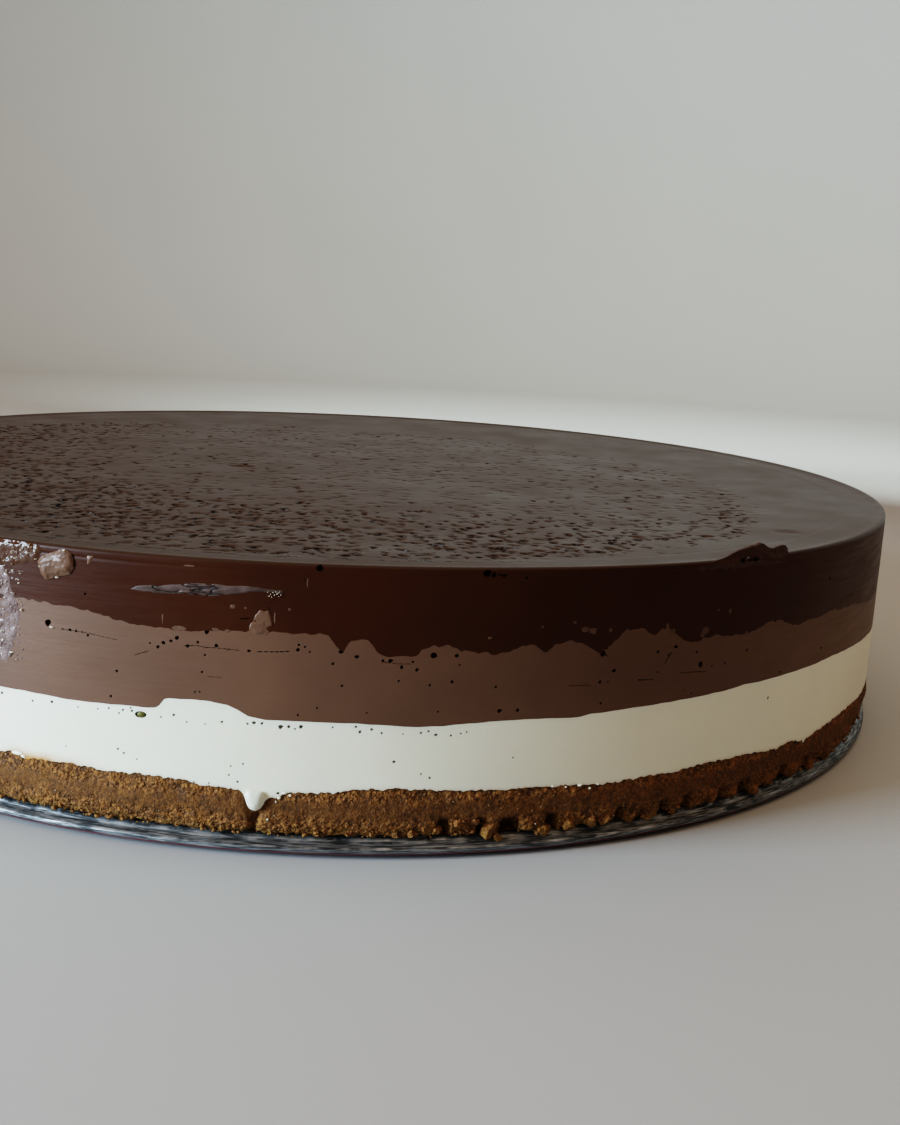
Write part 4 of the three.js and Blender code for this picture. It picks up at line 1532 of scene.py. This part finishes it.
# A grain's size is the first number, plus up to the second.
CRUMB_SIZE = (0.35, 0.85)
SUGAR_SIZE = (0.13, 0.14)
CRUMB_CLIMB = 1.1  # loose crumbs hang up to this far over the tin
CHUNK_GROWN = (1.5, 1.8, 1.3)  # a chunk's width, height and depth against the part that shows
CHUNK_SUNK = 0.48  # its middle lies this share of its seen width inside the side
CHUNK_LIFT = 0.6


class CAKE_OT_loose_crumbs(bpy.types.Operator):
    """Crumbs that hang on round the foot of the base, broken chunks, and glinting sugar"""

    bl_idname = "cake.loose_crumbs"
    bl_label = "Loose crumbs"

    def execute(self, context):
        detail = context.scene.cake_detail
        golden = pressed_crumb(
            "loose_biscuit_crumb",
            colour_of("crumb", 2.4),
            colour_of("crumb", 1.3),
            colour_of("crumb", 0.7),
        )
        broken = pressed_crumb(
            "broken_biscuit_crumb",
            colour_of("crumb", 2.4),
            colour_of("crumb", 1.35),
            colour_of("crumb", 0.75),
        )
        random = np.random.default_rng(81)
        frames = []
        for _ in range(detail.crumbs):
            azimuth = random.uniform(-180, 180)
            size = CRUMB_SIZE[0] + CRUMB_SIZE[1] * random.uniform() ** 2
            height = TIN_TOP + size * 0.36 + CRUMB_CLIMB * random.uniform() ** 2
            radius = float(biscuit_radius(azimuth, 0.1)) + random.uniform(-0.3, 0.3) * size
            matrix = press(azimuth, height, size, size * 0.8, size * 0.9, radius)
            frames.append(tumbled(matrix, random))
        picks = random.integers(0, CRUMB_SHAPES, len(frames))
        piece = copies("foot_crumbs", broken_shapes(CRUMB_SHAPES, 2, 82), frames, picks)
        finish_piece(piece, [golden], sharp=80)

        frames = []
        for x, y, across, tall in FOOT_CHUNKS_SEEN:
            azimuth, height, scale = on_side(x, y)
            radius = CAKE_RADIUS - across * scale * CHUNK_SUNK
            seen = (across * scale, tall * scale, across * scale)
            size = [part * grown for part, grown in zip(seen, CHUNK_GROWN)]
            lean = random.uniform(-25, 25)
            frames.append(press(azimuth, height + CHUNK_LIFT, *size, radius, lean))
        shapes = broken_shapes(len(frames), 4, 83)
        piece = copies("foot_chunks", shapes, frames)
        lift(piece, crumb_relief)
        finish_piece(piece, [broken], sharp=80)

        frames = []
        for _ in range(detail.sugar):
            azimuth = random.uniform(-180, 180)
            share = random.uniform(0.1, 0.97)
            top = float(BISCUIT_SIDE(azimuth))
            height = TIN_TOP + (top - TIN_TOP) * share
            size = SUGAR_SIZE[0] + SUGAR_SIZE[1] * random.uniform() ** 2
            radius = float(biscuit_radius(azimuth, share)) + random.uniform(-0.05, 0.2)
            frames.append(tumbled(press(azimuth, height, size, size, size, radius), random))
        piece = copies("sugar_grains", [lump_shape(1)], frames)
        finish_piece(piece, [sugar_crystal()], sharp=10)
        return {"FINISHED"}


def even_rows(below, above):
    """Shares of a layer's height for rows of faces that are about LAYER_ROW high."""
    rows = round(float(above(0.0, CAKE_RADIUS) - below(0.0, CAKE_RADIUS)) / LAYER_ROW)
    return [row / rows for row in range(rows + 1)]


HOLLOWS_WITHIN = 3  # bubbles and cracks end before this depth
LEVEL = 0.98  # a face whose normal is this upright is part of a layer's top or floor


def mark_hollows(piece, index, from_side=0.06):
    """Gives the faces inside bubbles and cracks the material at this index, which paints their
    shade.
    """
    for face in piece.data.polygons:
        deep = CAKE_RADIUS - math.hypot(face.center.x, face.center.y) / MM
        if from_side < deep < HOLLOWS_WITHIN and abs(face.normal.z) < LEVEL:
            face.material_index = index


def mark_soaked(piece):
    """Writes how far butter has soaked into each vertex of the white layer, 0 to 1."""
    places = places_of(piece)
    azimuth = turn(azimuth_of(places), 0)
    (first, _, _), (last, _, _) = (on_side(*spot) for spot in SOAKED_SEEN)
    along = smooth(azimuth, first - 2, first + 1.5) * (1 - smooth(azimuth, last - 9, last + 1))
    risen = places[:, 2] - BISCUIT_SIDE(azimuth)
    soak = along * (1 - smooth(risen, 0.1, 1.9)) + 0.28 * (1 - smooth(risen, 0.0, 0.5))
    values = piece.data.attributes.new("soak", "FLOAT", "POINT")
    values.data.foreach_set("value", np.clip(soak, 0, 1).astype(np.float32))


class CAKE_OT_white_layer(bpy.types.Operator):
    """The white chocolate layer, with a row of small bubbles under its top edge"""

    bl_idname = "cake.white_layer"
    bl_label = "White chocolate layer"

    def execute(self, context):
        rows = even_rows(biscuit_top, white_top)
        piece, places, *_ = layer_body("white_layer", biscuit_top, white_top, rows, EDGE_RINGS)
        move_vertices(piece, places)
        count = context.scene.cake_detail.white_bubbles
        spots = seen_bubbles(WHITE_HOLES_SEEN)
        spots += hidden_bubbles(91, count, lambda a: WHITE_SIDE(a) - 1.9, WHITE_SIDE, (0.2, 0.7))
        spots += hidden_bubbles(92, count // 2, BISCUIT_SIDE, WHITE_SIDE, (0.2, 0.6))
        olive_azimuth, olive_height, scale = on_side(*OLIVE_BUBBLE_SEEN[:2])
        width = OLIVE_BUBBLE_SEEN[2] * scale
        spots.append((olive_azimuth, olive_height, width, width * 0.66))
        cut(piece, bubble_cutter(spots))
        mark_hollows(piece, 1)
        mark_soaked(piece)
        cream = set_cream(
            "white_chocolate_cream",
            colour_of("white", 0.94),
            colour_of("white"),
            0.42,
            0.03,
            0.35,
            rgba("#b9803c"),
        )
        # Painted shade in the bubbles: the white cream at 0.4 of its brightness.
        hollow = bubble_painted_shade("white_cream_hollow", colour_of("white", 0.4))
        finish_piece(piece, [cream, hollow], "white_chocolate_layer")

        # Painted shade: an olive lump set deep in that bubble darkens it.
        shade_lump = [(*OLIVE_BUBBLE_SEEN[:2], *OLIVE_SHADE_LUMP)]
        piece = pressed_lumps("butter_fleck", shade_lump, [lump_shape(3)], 0.6, 0.28)
        butter = torn_cream("butter_fleck_olive", rgba("#4d4a22"), rgba("#6f6c3a"), 0.3)
        finish_piece(piece, [butter])
        return {"FINISHED"}


class CAKE_OT_milk_layer(bpy.types.Operator):
    """The milk chocolate layer, with bubbles and the ragged line where the dark one sank in"""

    bl_idname = "cake.milk_layer"
    bl_label = "Milk chocolate layer"

    def execute(self, context):
        rows = even_rows(white_top, milk_top)
        piece, places, *_ = layer_body("milk_layer", white_top, milk_top, rows, EDGE_RINGS)
        move_vertices(piece, places)
        count = context.scene.cake_detail.milk_bubbles
        spots = seen_bubbles(MILK_HOLES_SEEN)
        spots += hidden_bubbles(93, count, lambda a: MILK_SIDE(a) - 3.5, MILK_SIDE, (0.25, 1.3))
        spots += hidden_bubbles(94, count // 2, WHITE_SIDE, MILK_SIDE, (0.25, 0.7))
        cut(piece, bubble_cutter(spots))
        cut(piece, crack_cutter(MILK_CRACKS_SEEN))
        mark_hollows(piece, 1)
        cream = set_cream(
            "milk_chocolate_cream",
            colour_of("milk", 0.88),
            colour_of("milk", 1.08),
            0.45,
            0.05,
            0.05,
        )
        # Painted shade in the bubbles and cracks: the milk cream at 0.45 of its brightness.
        hollow = bubble_painted_shade("milk_cream_hollow", colour_of("milk", 0.45))
        finish_piece(piece, [cream, hollow], "milk_chocolate_layer")
        return {"FINISHED"}


def dark_skin():
    return pitted_skin(
        "dark_chocolate_skin", colour_of("dark", 0.85), colour_of("dark", 1.1), 0.36
    )


def rim_groove(azimuth, drop):
    """The narrow groove under the skin's edge, and the swelling below it, as a change of radius.

    drop is how far a place lies below the rim, in millimetres."""
    there = 0.35 + 0.65 * smooth(turn(azimuth, -8), 14, -6) * smooth(turn(azimuth, -8), -60, -40)
    there = there * (0.75 + 0.25 * GROOVE_NOISE(azimuth))
    return there * (ridge(drop, *SWELLING) - ridge(drop, *GROOVE))


class CAKE_OT_dark_layer(bpy.types.Operator):
    """The dark chocolate layer's side and rim"""

    bl_idname = "cake.dark_layer"
    bl_label = "Dark chocolate layer"

    def execute(self, context):
        thick = RIM_TOP - MILK_TOP
        fine_from = 1 - GROOVE_ZONE / thick
        coarse = round(thick * fine_from / DARK_ROW)
        fine = round(GROOVE_ZONE / GROOVE_ROW)
        rows = [fine_from * row / coarse for row in range(coarse)]
        rows += [fine_from + (1 - fine_from) * row / fine for row in range(fine + 1)]
        body = layer_body("dark_layer", milk_top, dark_top, rows, BODY_RINGS)
        piece, places, azimuth, radius = body
        upper = places[:, 2] > BODY_FLOOR - 3
        covered = upper & (radius < COVERED_FROM)
        places[covered, 2] = BODY_FLOOR
        side = radius > CAKE_RADIUS - 0.02
        drop = dark_top(azimuth, CAKE_RADIUS) - places[:, 2]
        set_radius(places, np.where(side, radius + rim_groove(azimuth, drop), radius))
        move_vertices(piece, places)
        spots = seen_bubbles(DARK_HOLES_SEEN)
        spots += hidden_bubbles(95, 14, MILK_SIDE, lambda a: RIM_TOP, (0.25, 0.9))
        spots += squashed(seen_bubbles(FLAP_HOLLOWS_SEEN), HOLLOW_FLAT)
        cut(piece, bubble_cutter(spots))
        cut(piece, crack_cutter(DARK_CRACKS_SEEN))
        cream = set_cream(
            "dark_chocolate_cream",
            colour_of("dark", 0.85),
            colour_of("dark", 1.1),
            0.4,
            0.06,
            sheen=0.27,
        )
        skin = dark_skin()
        # Painted shade in the bubbles and cracks: the dark cream at 0.4 of its brightness.
        hollow = bubble_painted_shade("dark_cream_hollow", colour_of("dark", 0.4))
        mark_hollows(piece, 2, 0.3)
        for face in piece.data.polygons:
            if face.normal.z > 0.35 and face.center.z / MM > BODY_FLOOR:
                face.material_index = 1
        materials = [cream, skin, hollow]
        finish_piece(piece, materials, "dark_chocolate_layer", 50)
        return {"FINISHED"}


def top_pits(places):
    """How deep the larger pits of the top go at each place, in millimetres."""
    deep = np.zeros(len(places))
    for x, y, across, length, depth in TOP_PITS_SEEN:
        middle_x, middle_y, scale = on_top(x, y)
        wide = across * scale / 2
        off = ((places[:, 0] - middle_x) / wide) ** 2 + ((places[:, 1] - middle_y) / length * 2) ** 2
        deep = np.maximum(deep, depth * np.exp(-(off**2)))
    return deep


class CAKE_OT_top_skin(bpy.types.Operator):
    """The pitted skin of the top"""

    bl_idname = "cake.top_skin"
    bl_label = "Top skin"

    def execute(self, context):
        deselect()
        bpy.ops.mesh.primitive_circle_add(vertices=6, radius=SKIN_RADIUS * MM, fill_type="TRIFAN")
        piece = context.object
        piece.name = piece.data.name = "top_skin"
        bpy.ops.object.mode_set(mode="EDIT")
        for rings in SKIN_RINGS:
            bpy.ops.mesh.select_all(action="SELECT")
            bpy.ops.mesh.subdivide(number_cuts=rings - 1)
        bpy.ops.mesh.select_all(action="SELECT")
        bpy.ops.mesh.region_to_loop()
        bpy.ops.mesh.extrude_region_move(TRANSFORM_OT_translate={"value": (0, 0, -MM)})
        bpy.ops.mesh.edge_face_add()
        bpy.ops.object.mode_set(mode="OBJECT")

        places = places_of(piece)
        angle = np.degrees(np.arctan2(places[:, 1], places[:, 0]))
        first = np.degrees(np.arctan2(1.0, 0.0))  # the circle's first corner is on +Y
        sixth = np.floor((angle - first) / 60)
        within = np.radians(angle - first - 60 * sixth)
        reach = np.hypot(places[:, 0], places[:, 1])
        far, near = reach * np.sin(np.radians(60) - within), reach * np.sin(within)
        radius = (far + near) / np.sin(np.radians(60))
        share = near / np.maximum(far + near, 1e-9)
        turned = np.radians(first + 60 * (sixth + share))
        places[:, 0], places[:, 1] = radius * np.cos(turned), radius * np.sin(turned)
        azimuth = azimuth_of(places)
        dip = SKIN_DIP * np.clip((radius - SKIN_DIP_FROM) / (SKIN_RADIUS - SKIN_DIP_FROM), 0, 1) ** 3
        under = places[:, 2] < -0.5
        places[:, 2] = np.where(under, SKIN_FLOOR, cake_top(azimuth, radius) + SKIN_OVER - dip)
        places[:, 2] -= np.where(under, 0, top_pits(places))
        move_vertices(piece, places)
        face_outwards(piece)
        lift(piece, skin_relief, along_z=True)
        finish_piece(piece, [dark_skin()], sharp=80)
        return {"FINISHED"}


class CAKE_OT_torn_flap(bpy.types.Operator):
    """The torn flap of dark cream that stands up from the rim"""

    bl_idname = "cake.torn_flap"
    bl_label = "Torn flap"

    def execute(self, context):
        edge = np.array([on_side(x, y, FLAP_RADIUS)[:2] for x, y in FLAP_EDGE_SEEN])
        piece, shares = grid_sheet("torn_flap", *FLAP_GRID)
        azimuth = edge[0, 0] + shares[:, 0] * (edge[-1, 0] - edge[0, 0])
        share = shares[:, 1]
        peak = np.interp(azimuth, edge[:, 0], edge[:, 1]) + 0.05 * FLAP_RAGGED(azimuth)
        foot = RIM_TOP - FLAP_FOOT
        height = foot + (peak - foot) * share
        above = np.clip(height - RIM_TOP, 0, None)
        radius = FLAP_RADIUS + 0.3 * smooth(share, 0, 0.15) * (1 - smooth(above, 0, 1.5))
        radius += 0.08 * FLAP_RAGGED(azimuth * 0.3 + 4 * share) * smooth(share, 0.1, 0.4)
        ends = smooth(shares[:, 0], 0, 0.05) * (1 - smooth(shares[:, 0], 0.97, 1))
        radius -= 0.5 * (1 - ends) * (1 - smooth(above, 0, 0.3))
        bend_round(piece, azimuth, radius, height)
        thicken(piece, FLAP_THICKNESS)
        lift(piece, flap_relief)
        hollows = [(x, y, across * 1.1) for x, y, across in FLAP_HOLLOWS_SEEN]
        cut(piece, bubble_cutter(squashed(seen_bubbles(hollows), HOLLOW_FLAT)))
        cream = torn_cream(
            "torn_dark_cream", colour_of("dark", 0.8), colour_of("dark", 1.3), 0.42
        )
        finish_piece(piece, [cream], sharp=60)
        return {"FINISHED"}


def flap_relief(tree, point):
    """The torn face of the flap in millimetres."""
    folds = add(tree, NOISE, {"Vector": point, "Scale": per(1.6), "Detail": 3.0})
    return add(tree, RANGE, {0: folds, 1: 0.3, 2: 0.7, 3: -0.05, 4: 0.04})


class CAKE_OT_side_marks(bpy.types.Operator):
    """Lumps, specks and a dried scrape that the knife and the tin left on the cake's side, and
    glints painted as small white lumps
    """

    bl_idname = "cake.side_marks"
    bl_label = "Side marks"

    def execute(self, context):
        milk = torn_cream(
            "torn_milk_cream", colour_of("milk", 0.85), colour_of("milk", 1.15), 0.34
        )
        white = torn_cream(
            "white_cream_smears", colour_of("white", 0.9), colour_of("white"), 0.35
        )
        lump, drip = (RIM_LUMP_SEEN, 0.65, 0.85), (DRIP_SEEN, 0.1, 0.25)
        chunk, scrape = (CHUNK_SEEN, 0.06, 0.2), (SCRAPE_SEEN, 0.1, 0.2)
        lay_patch("rim_lump", lump, lump_relief, milk, "milk_chocolate", calm=12)
        lay_patch("rim_drip", drip, smear_relief, milk, "milk_chocolate")
        lay_patch("milk_chunk", chunk, smear_relief, milk, "milk_chocolate", calm=3)
        film = dried_film()
        lay_patch("dried_scrape", scrape, wrinkle_relief, film, "dark_chocolate", step=0.1)
        cream = set_cream(
            "white_cream_drop", colour_of("white", 0.76), colour_of("white", 0.84), 0.35, 0.03, 0.3
        )
        drop = (DROP_SEEN, 1.0, 0.9)
        lay_patch("white_drop", drop, None, cream, "white_chocolate", sharp=35, calm=40)

        specks = crumb_shapes(6, 2, 71)
        piece = pressed_lumps("milk_specks", MILK_SPECKS_SEEN, specks, 0.07)
        dull = torn_cream(
            "dull_milk_specks", colour_of("milk", 0.6), colour_of("milk", 0.95), 0.45
        )
        finish_piece(piece, [dull], sharp=60)
        piece = pressed_lumps("white_specks", WHITE_SPECKS_SEEN, specks, 0.5, 0.06)
        finish_piece(piece, [white], sharp=60)

        random = np.random.default_rng(72)
        sparks = [(*spot, *SPARK_SIZE) for spot in SPARKS_SEEN]
        for columns, rows in GLINT_ZONES_SEEN * GLINTS:
            spot = (random.uniform(*columns), random.uniform(*rows))
            sparks.append((*spot, *(random.uniform(*span) for span in GLINT_SIZES)))
        # Painted highlights: small lumps of white cream stand for wet glints.
        piece = pressed_lumps("fat_sparks", sparks + GLINTS_SEEN, specks, 0.75)
        finish_piece(piece, [white], sharp=60)

        murky = torn_cream(
            "moist_murky_cream", colour_of("dark", 1.2), colour_of("milk", 0.6), 0.1, 0.5
        )
        moist = (MOIST_TOP_SEEN, 0.2, 0.5)
        lay_patch("moist_rim", moist, lump_relief, murky, "dark_chocolate")

        # Moist milk cream: its pale greyish pink is partly the cream's own colour and partly a
        # painted sheen of the wet side.
        wet_and_sheen = torn_cream("moist_milk_cream", rgba("#4f3a32"), rgba("#85746f"), 0.14, 0.6)
        smear = (MOIST_SMEAR_SEEN, 0.08, 0.6)
        lay_patch("moist_smear", smear, smear_relief, wet_and_sheen, "milk_chocolate")
        frames = []
        for _ in range(MOIST_LUMPS):
            x = MOIST_RIGHT - MOIST_WIDTH * random.uniform()
            y = random.uniform(*MOIST_ROWS)
            azimuth, height, scale = on_side(x, y)
            fade = smooth(MOIST_RIGHT - x, 0, MOIST_FADE)
            width = scale * random.uniform(*MOIST_SIZES) * (0.35 + 0.65 * fade)
            tall = width * random.uniform(0.4, 1.1)
            lean = random.uniform(-40, 40)
            frames.append(press(azimuth, height, width, tall, 0.5 * tall, CAKE_RADIUS, lean))
        # The moist lumps take the same partly painted sheen.
        piece = copies("moist_lumps", specks, frames)
        finish_piece(piece, [wet_and_sheen], sharp=70)
        return {"FINISHED"}


# ---------- the stage ----------

FLOOR_RADIUS = 900.0
SWEEP_RADIUS = 420.0
SWEEP_STEPS = 24
WALL_TOP = 1150.0
WALL_LEAN = 30  # the wall's top stands this much further out than its foot
STAGE_STEPS = 128


def aim(place, target):
    """The turn that points a light's -Z from one place at another."""
    return (Vector(target) - Vector(place)).to_track_quat("-Z", "Y").to_euler()


def around(azimuth, rise, away):
    """A place at an azimuth, an elevation and a distance from the cake's foot, in metres."""
    azimuth, rise = math.radians(azimuth), math.radians(rise)
    level = away * math.cos(rise)
    return level * math.sin(azimuth), -level * math.cos(azimuth), away * math.sin(rise)


# Each light: its azimuth, elevation and distance, the place it is aimed at, its size and colour.
# Angles are in degrees and lengths in metres.
KEY_LIGHT = ((-61, 14, 0.9), (0, 0, 0.03), 0.36, (0.66, 0.82, 1.0))
WALL_LEFT_LIGHT = ((175, 43, 0.66), (-0.1, 1.3, 0.25), 0.8, (0.65, 0.86, 0.96))
WALL_RIGHT_LIGHT = ((150, 43, 0.66), (0.6, 1.1, 0.25), 0.8, (0.65, 0.86, 0.96))
ROOM_COLOUR = (1.0, 0.7, 0.49, 1.0)  # the warm light from all round
ROOM_STRENGTH = 0.74
WALL_LEFT_SHARE = 0.3  # of the wall lights' power


def area_light(name, plan, power):
    """Adds a light that the camera doesn't see itself."""
    place, target, size, colour = plan
    place = around(*place)
    bpy.ops.object.light_add(type="AREA", location=place, rotation=aim(place, target))
    light = bpy.context.object
    light.name = name
    light.data.size = size
    light.data.energy = power
    light.data.color = colour
    light.visible_camera = False


class CAKE_OT_stage(bpy.types.Operator):
    """A pale sweep all round, soft window light from the left, and the camera"""

    bl_idname = "cake.stage"
    bl_label = "Stage"

    def execute(self, context):
        scene = context.scene
        profile = [(POLE, 0), (300, 0), (600, 0), (FLOOR_RADIUS, 0)]
        for step in range(1, SWEEP_STEPS + 1):
            angle = math.radians(90 * step / SWEEP_STEPS)
            radius = FLOOR_RADIUS + SWEEP_RADIUS * math.sin(angle)
            profile.append((radius, SWEEP_RADIUS * (1 - math.cos(angle))))
        profile.append((FLOOR_RADIUS + SWEEP_RADIUS + WALL_LEAN, WALL_TOP))
        sweep = lathe("stage_sweep", profile, STAGE_STEPS)
        activate(sweep)
        bpy.ops.object.shade_smooth()
        sweep.data.materials.append(painted_board(colour_of("floor"), colour_of("wall")))

        wall_power = scene.cake_detail.wall_power
        area_light("window_light", KEY_LIGHT, scene.cake_detail.key_power)
        area_light("wall_left_light", WALL_LEFT_LIGHT, wall_power * WALL_LEFT_SHARE)
        area_light("wall_right_light", WALL_RIGHT_LIGHT, wall_power)

        world = scene.world or bpy.data.worlds.new("world")
        scene.world = world
        world.use_nodes = True
        backdrop = world.node_tree.nodes["Background"]
        backdrop.inputs["Color"].default_value = ROOM_COLOUR
        backdrop.inputs["Strength"].default_value = ROOM_STRENGTH

        turned = Matrix.Rotation(math.radians(90 - VIEW_DOWN), 4, "X")
        rolled = Matrix.Rotation(math.radians(VIEW_ROLL), 4, "Z")
        place = Matrix.Translation(Vector(VIEW_PLACE) * MM)
        bpy.ops.object.camera_add()
        camera = context.object
        camera.matrix_world = place @ turned @ rolled
        camera.data.sensor_width = SENSOR
        camera.data.lens = VIEW_FOCAL * SENSOR / VIEW_SIZE[1]
        camera.data.clip_start = 0.01
        camera.data.clip_end = 20.0
        scene.camera = camera
        scene.view_settings.view_transform = "Filmic"
        scene.view_settings.look = "High Contrast"
        return {"FINISHED"}


# ---------- the add-on ----------

PIECES = (
    CAKE_OT_stage,
    CAKE_OT_tin_disc,
    CAKE_OT_crumb_base,
    CAKE_OT_loose_crumbs,
    CAKE_OT_white_layer,
    CAKE_OT_milk_layer,
    CAKE_OT_dark_layer,
    CAKE_OT_top_skin,
    CAKE_OT_torn_flap,
    CAKE_OT_side_marks,
)


class CAKE_PT_pieces(bpy.types.Panel):
    """Lists the cake's pieces and what can be changed on them"""

    bl_idname = "CAKE_PT_pieces"
    bl_label = "Layered cake"
    bl_space_type = "VIEW_3D"
    bl_region_type = "UI"
    bl_category = "Cake"

    def draw(self, context):
        layout = self.layout
        for group in (context.scene.cake_colours, context.scene.cake_detail):
            for name in group.__annotations__:
                layout.prop(group, name)
        for piece in PIECES:
            layout.operator(piece.bl_idname)


CLASSES = (CakeColours, CakeDetail, *PIECES, CAKE_PT_pieces)


def register():
    for made in CLASSES:
        bpy.utils.register_class(made)
    bpy.types.Scene.cake_colours = PointerProperty(type=CakeColours)
    bpy.types.Scene.cake_detail = PointerProperty(type=CakeDetail)


def unregister():
    del bpy.types.Scene.cake_detail
    del bpy.types.Scene.cake_colours
    for made in reversed(CLASSES):
        bpy.utils.unregister_class(made)


def main():
    """Builds the pieces in order."""
    register()
    for piece in PIECES:
        group, name = piece.bl_idname.split(".")
        getattr(getattr(bpy.ops, group), name)()


if __name__ == "__main__":
    main()
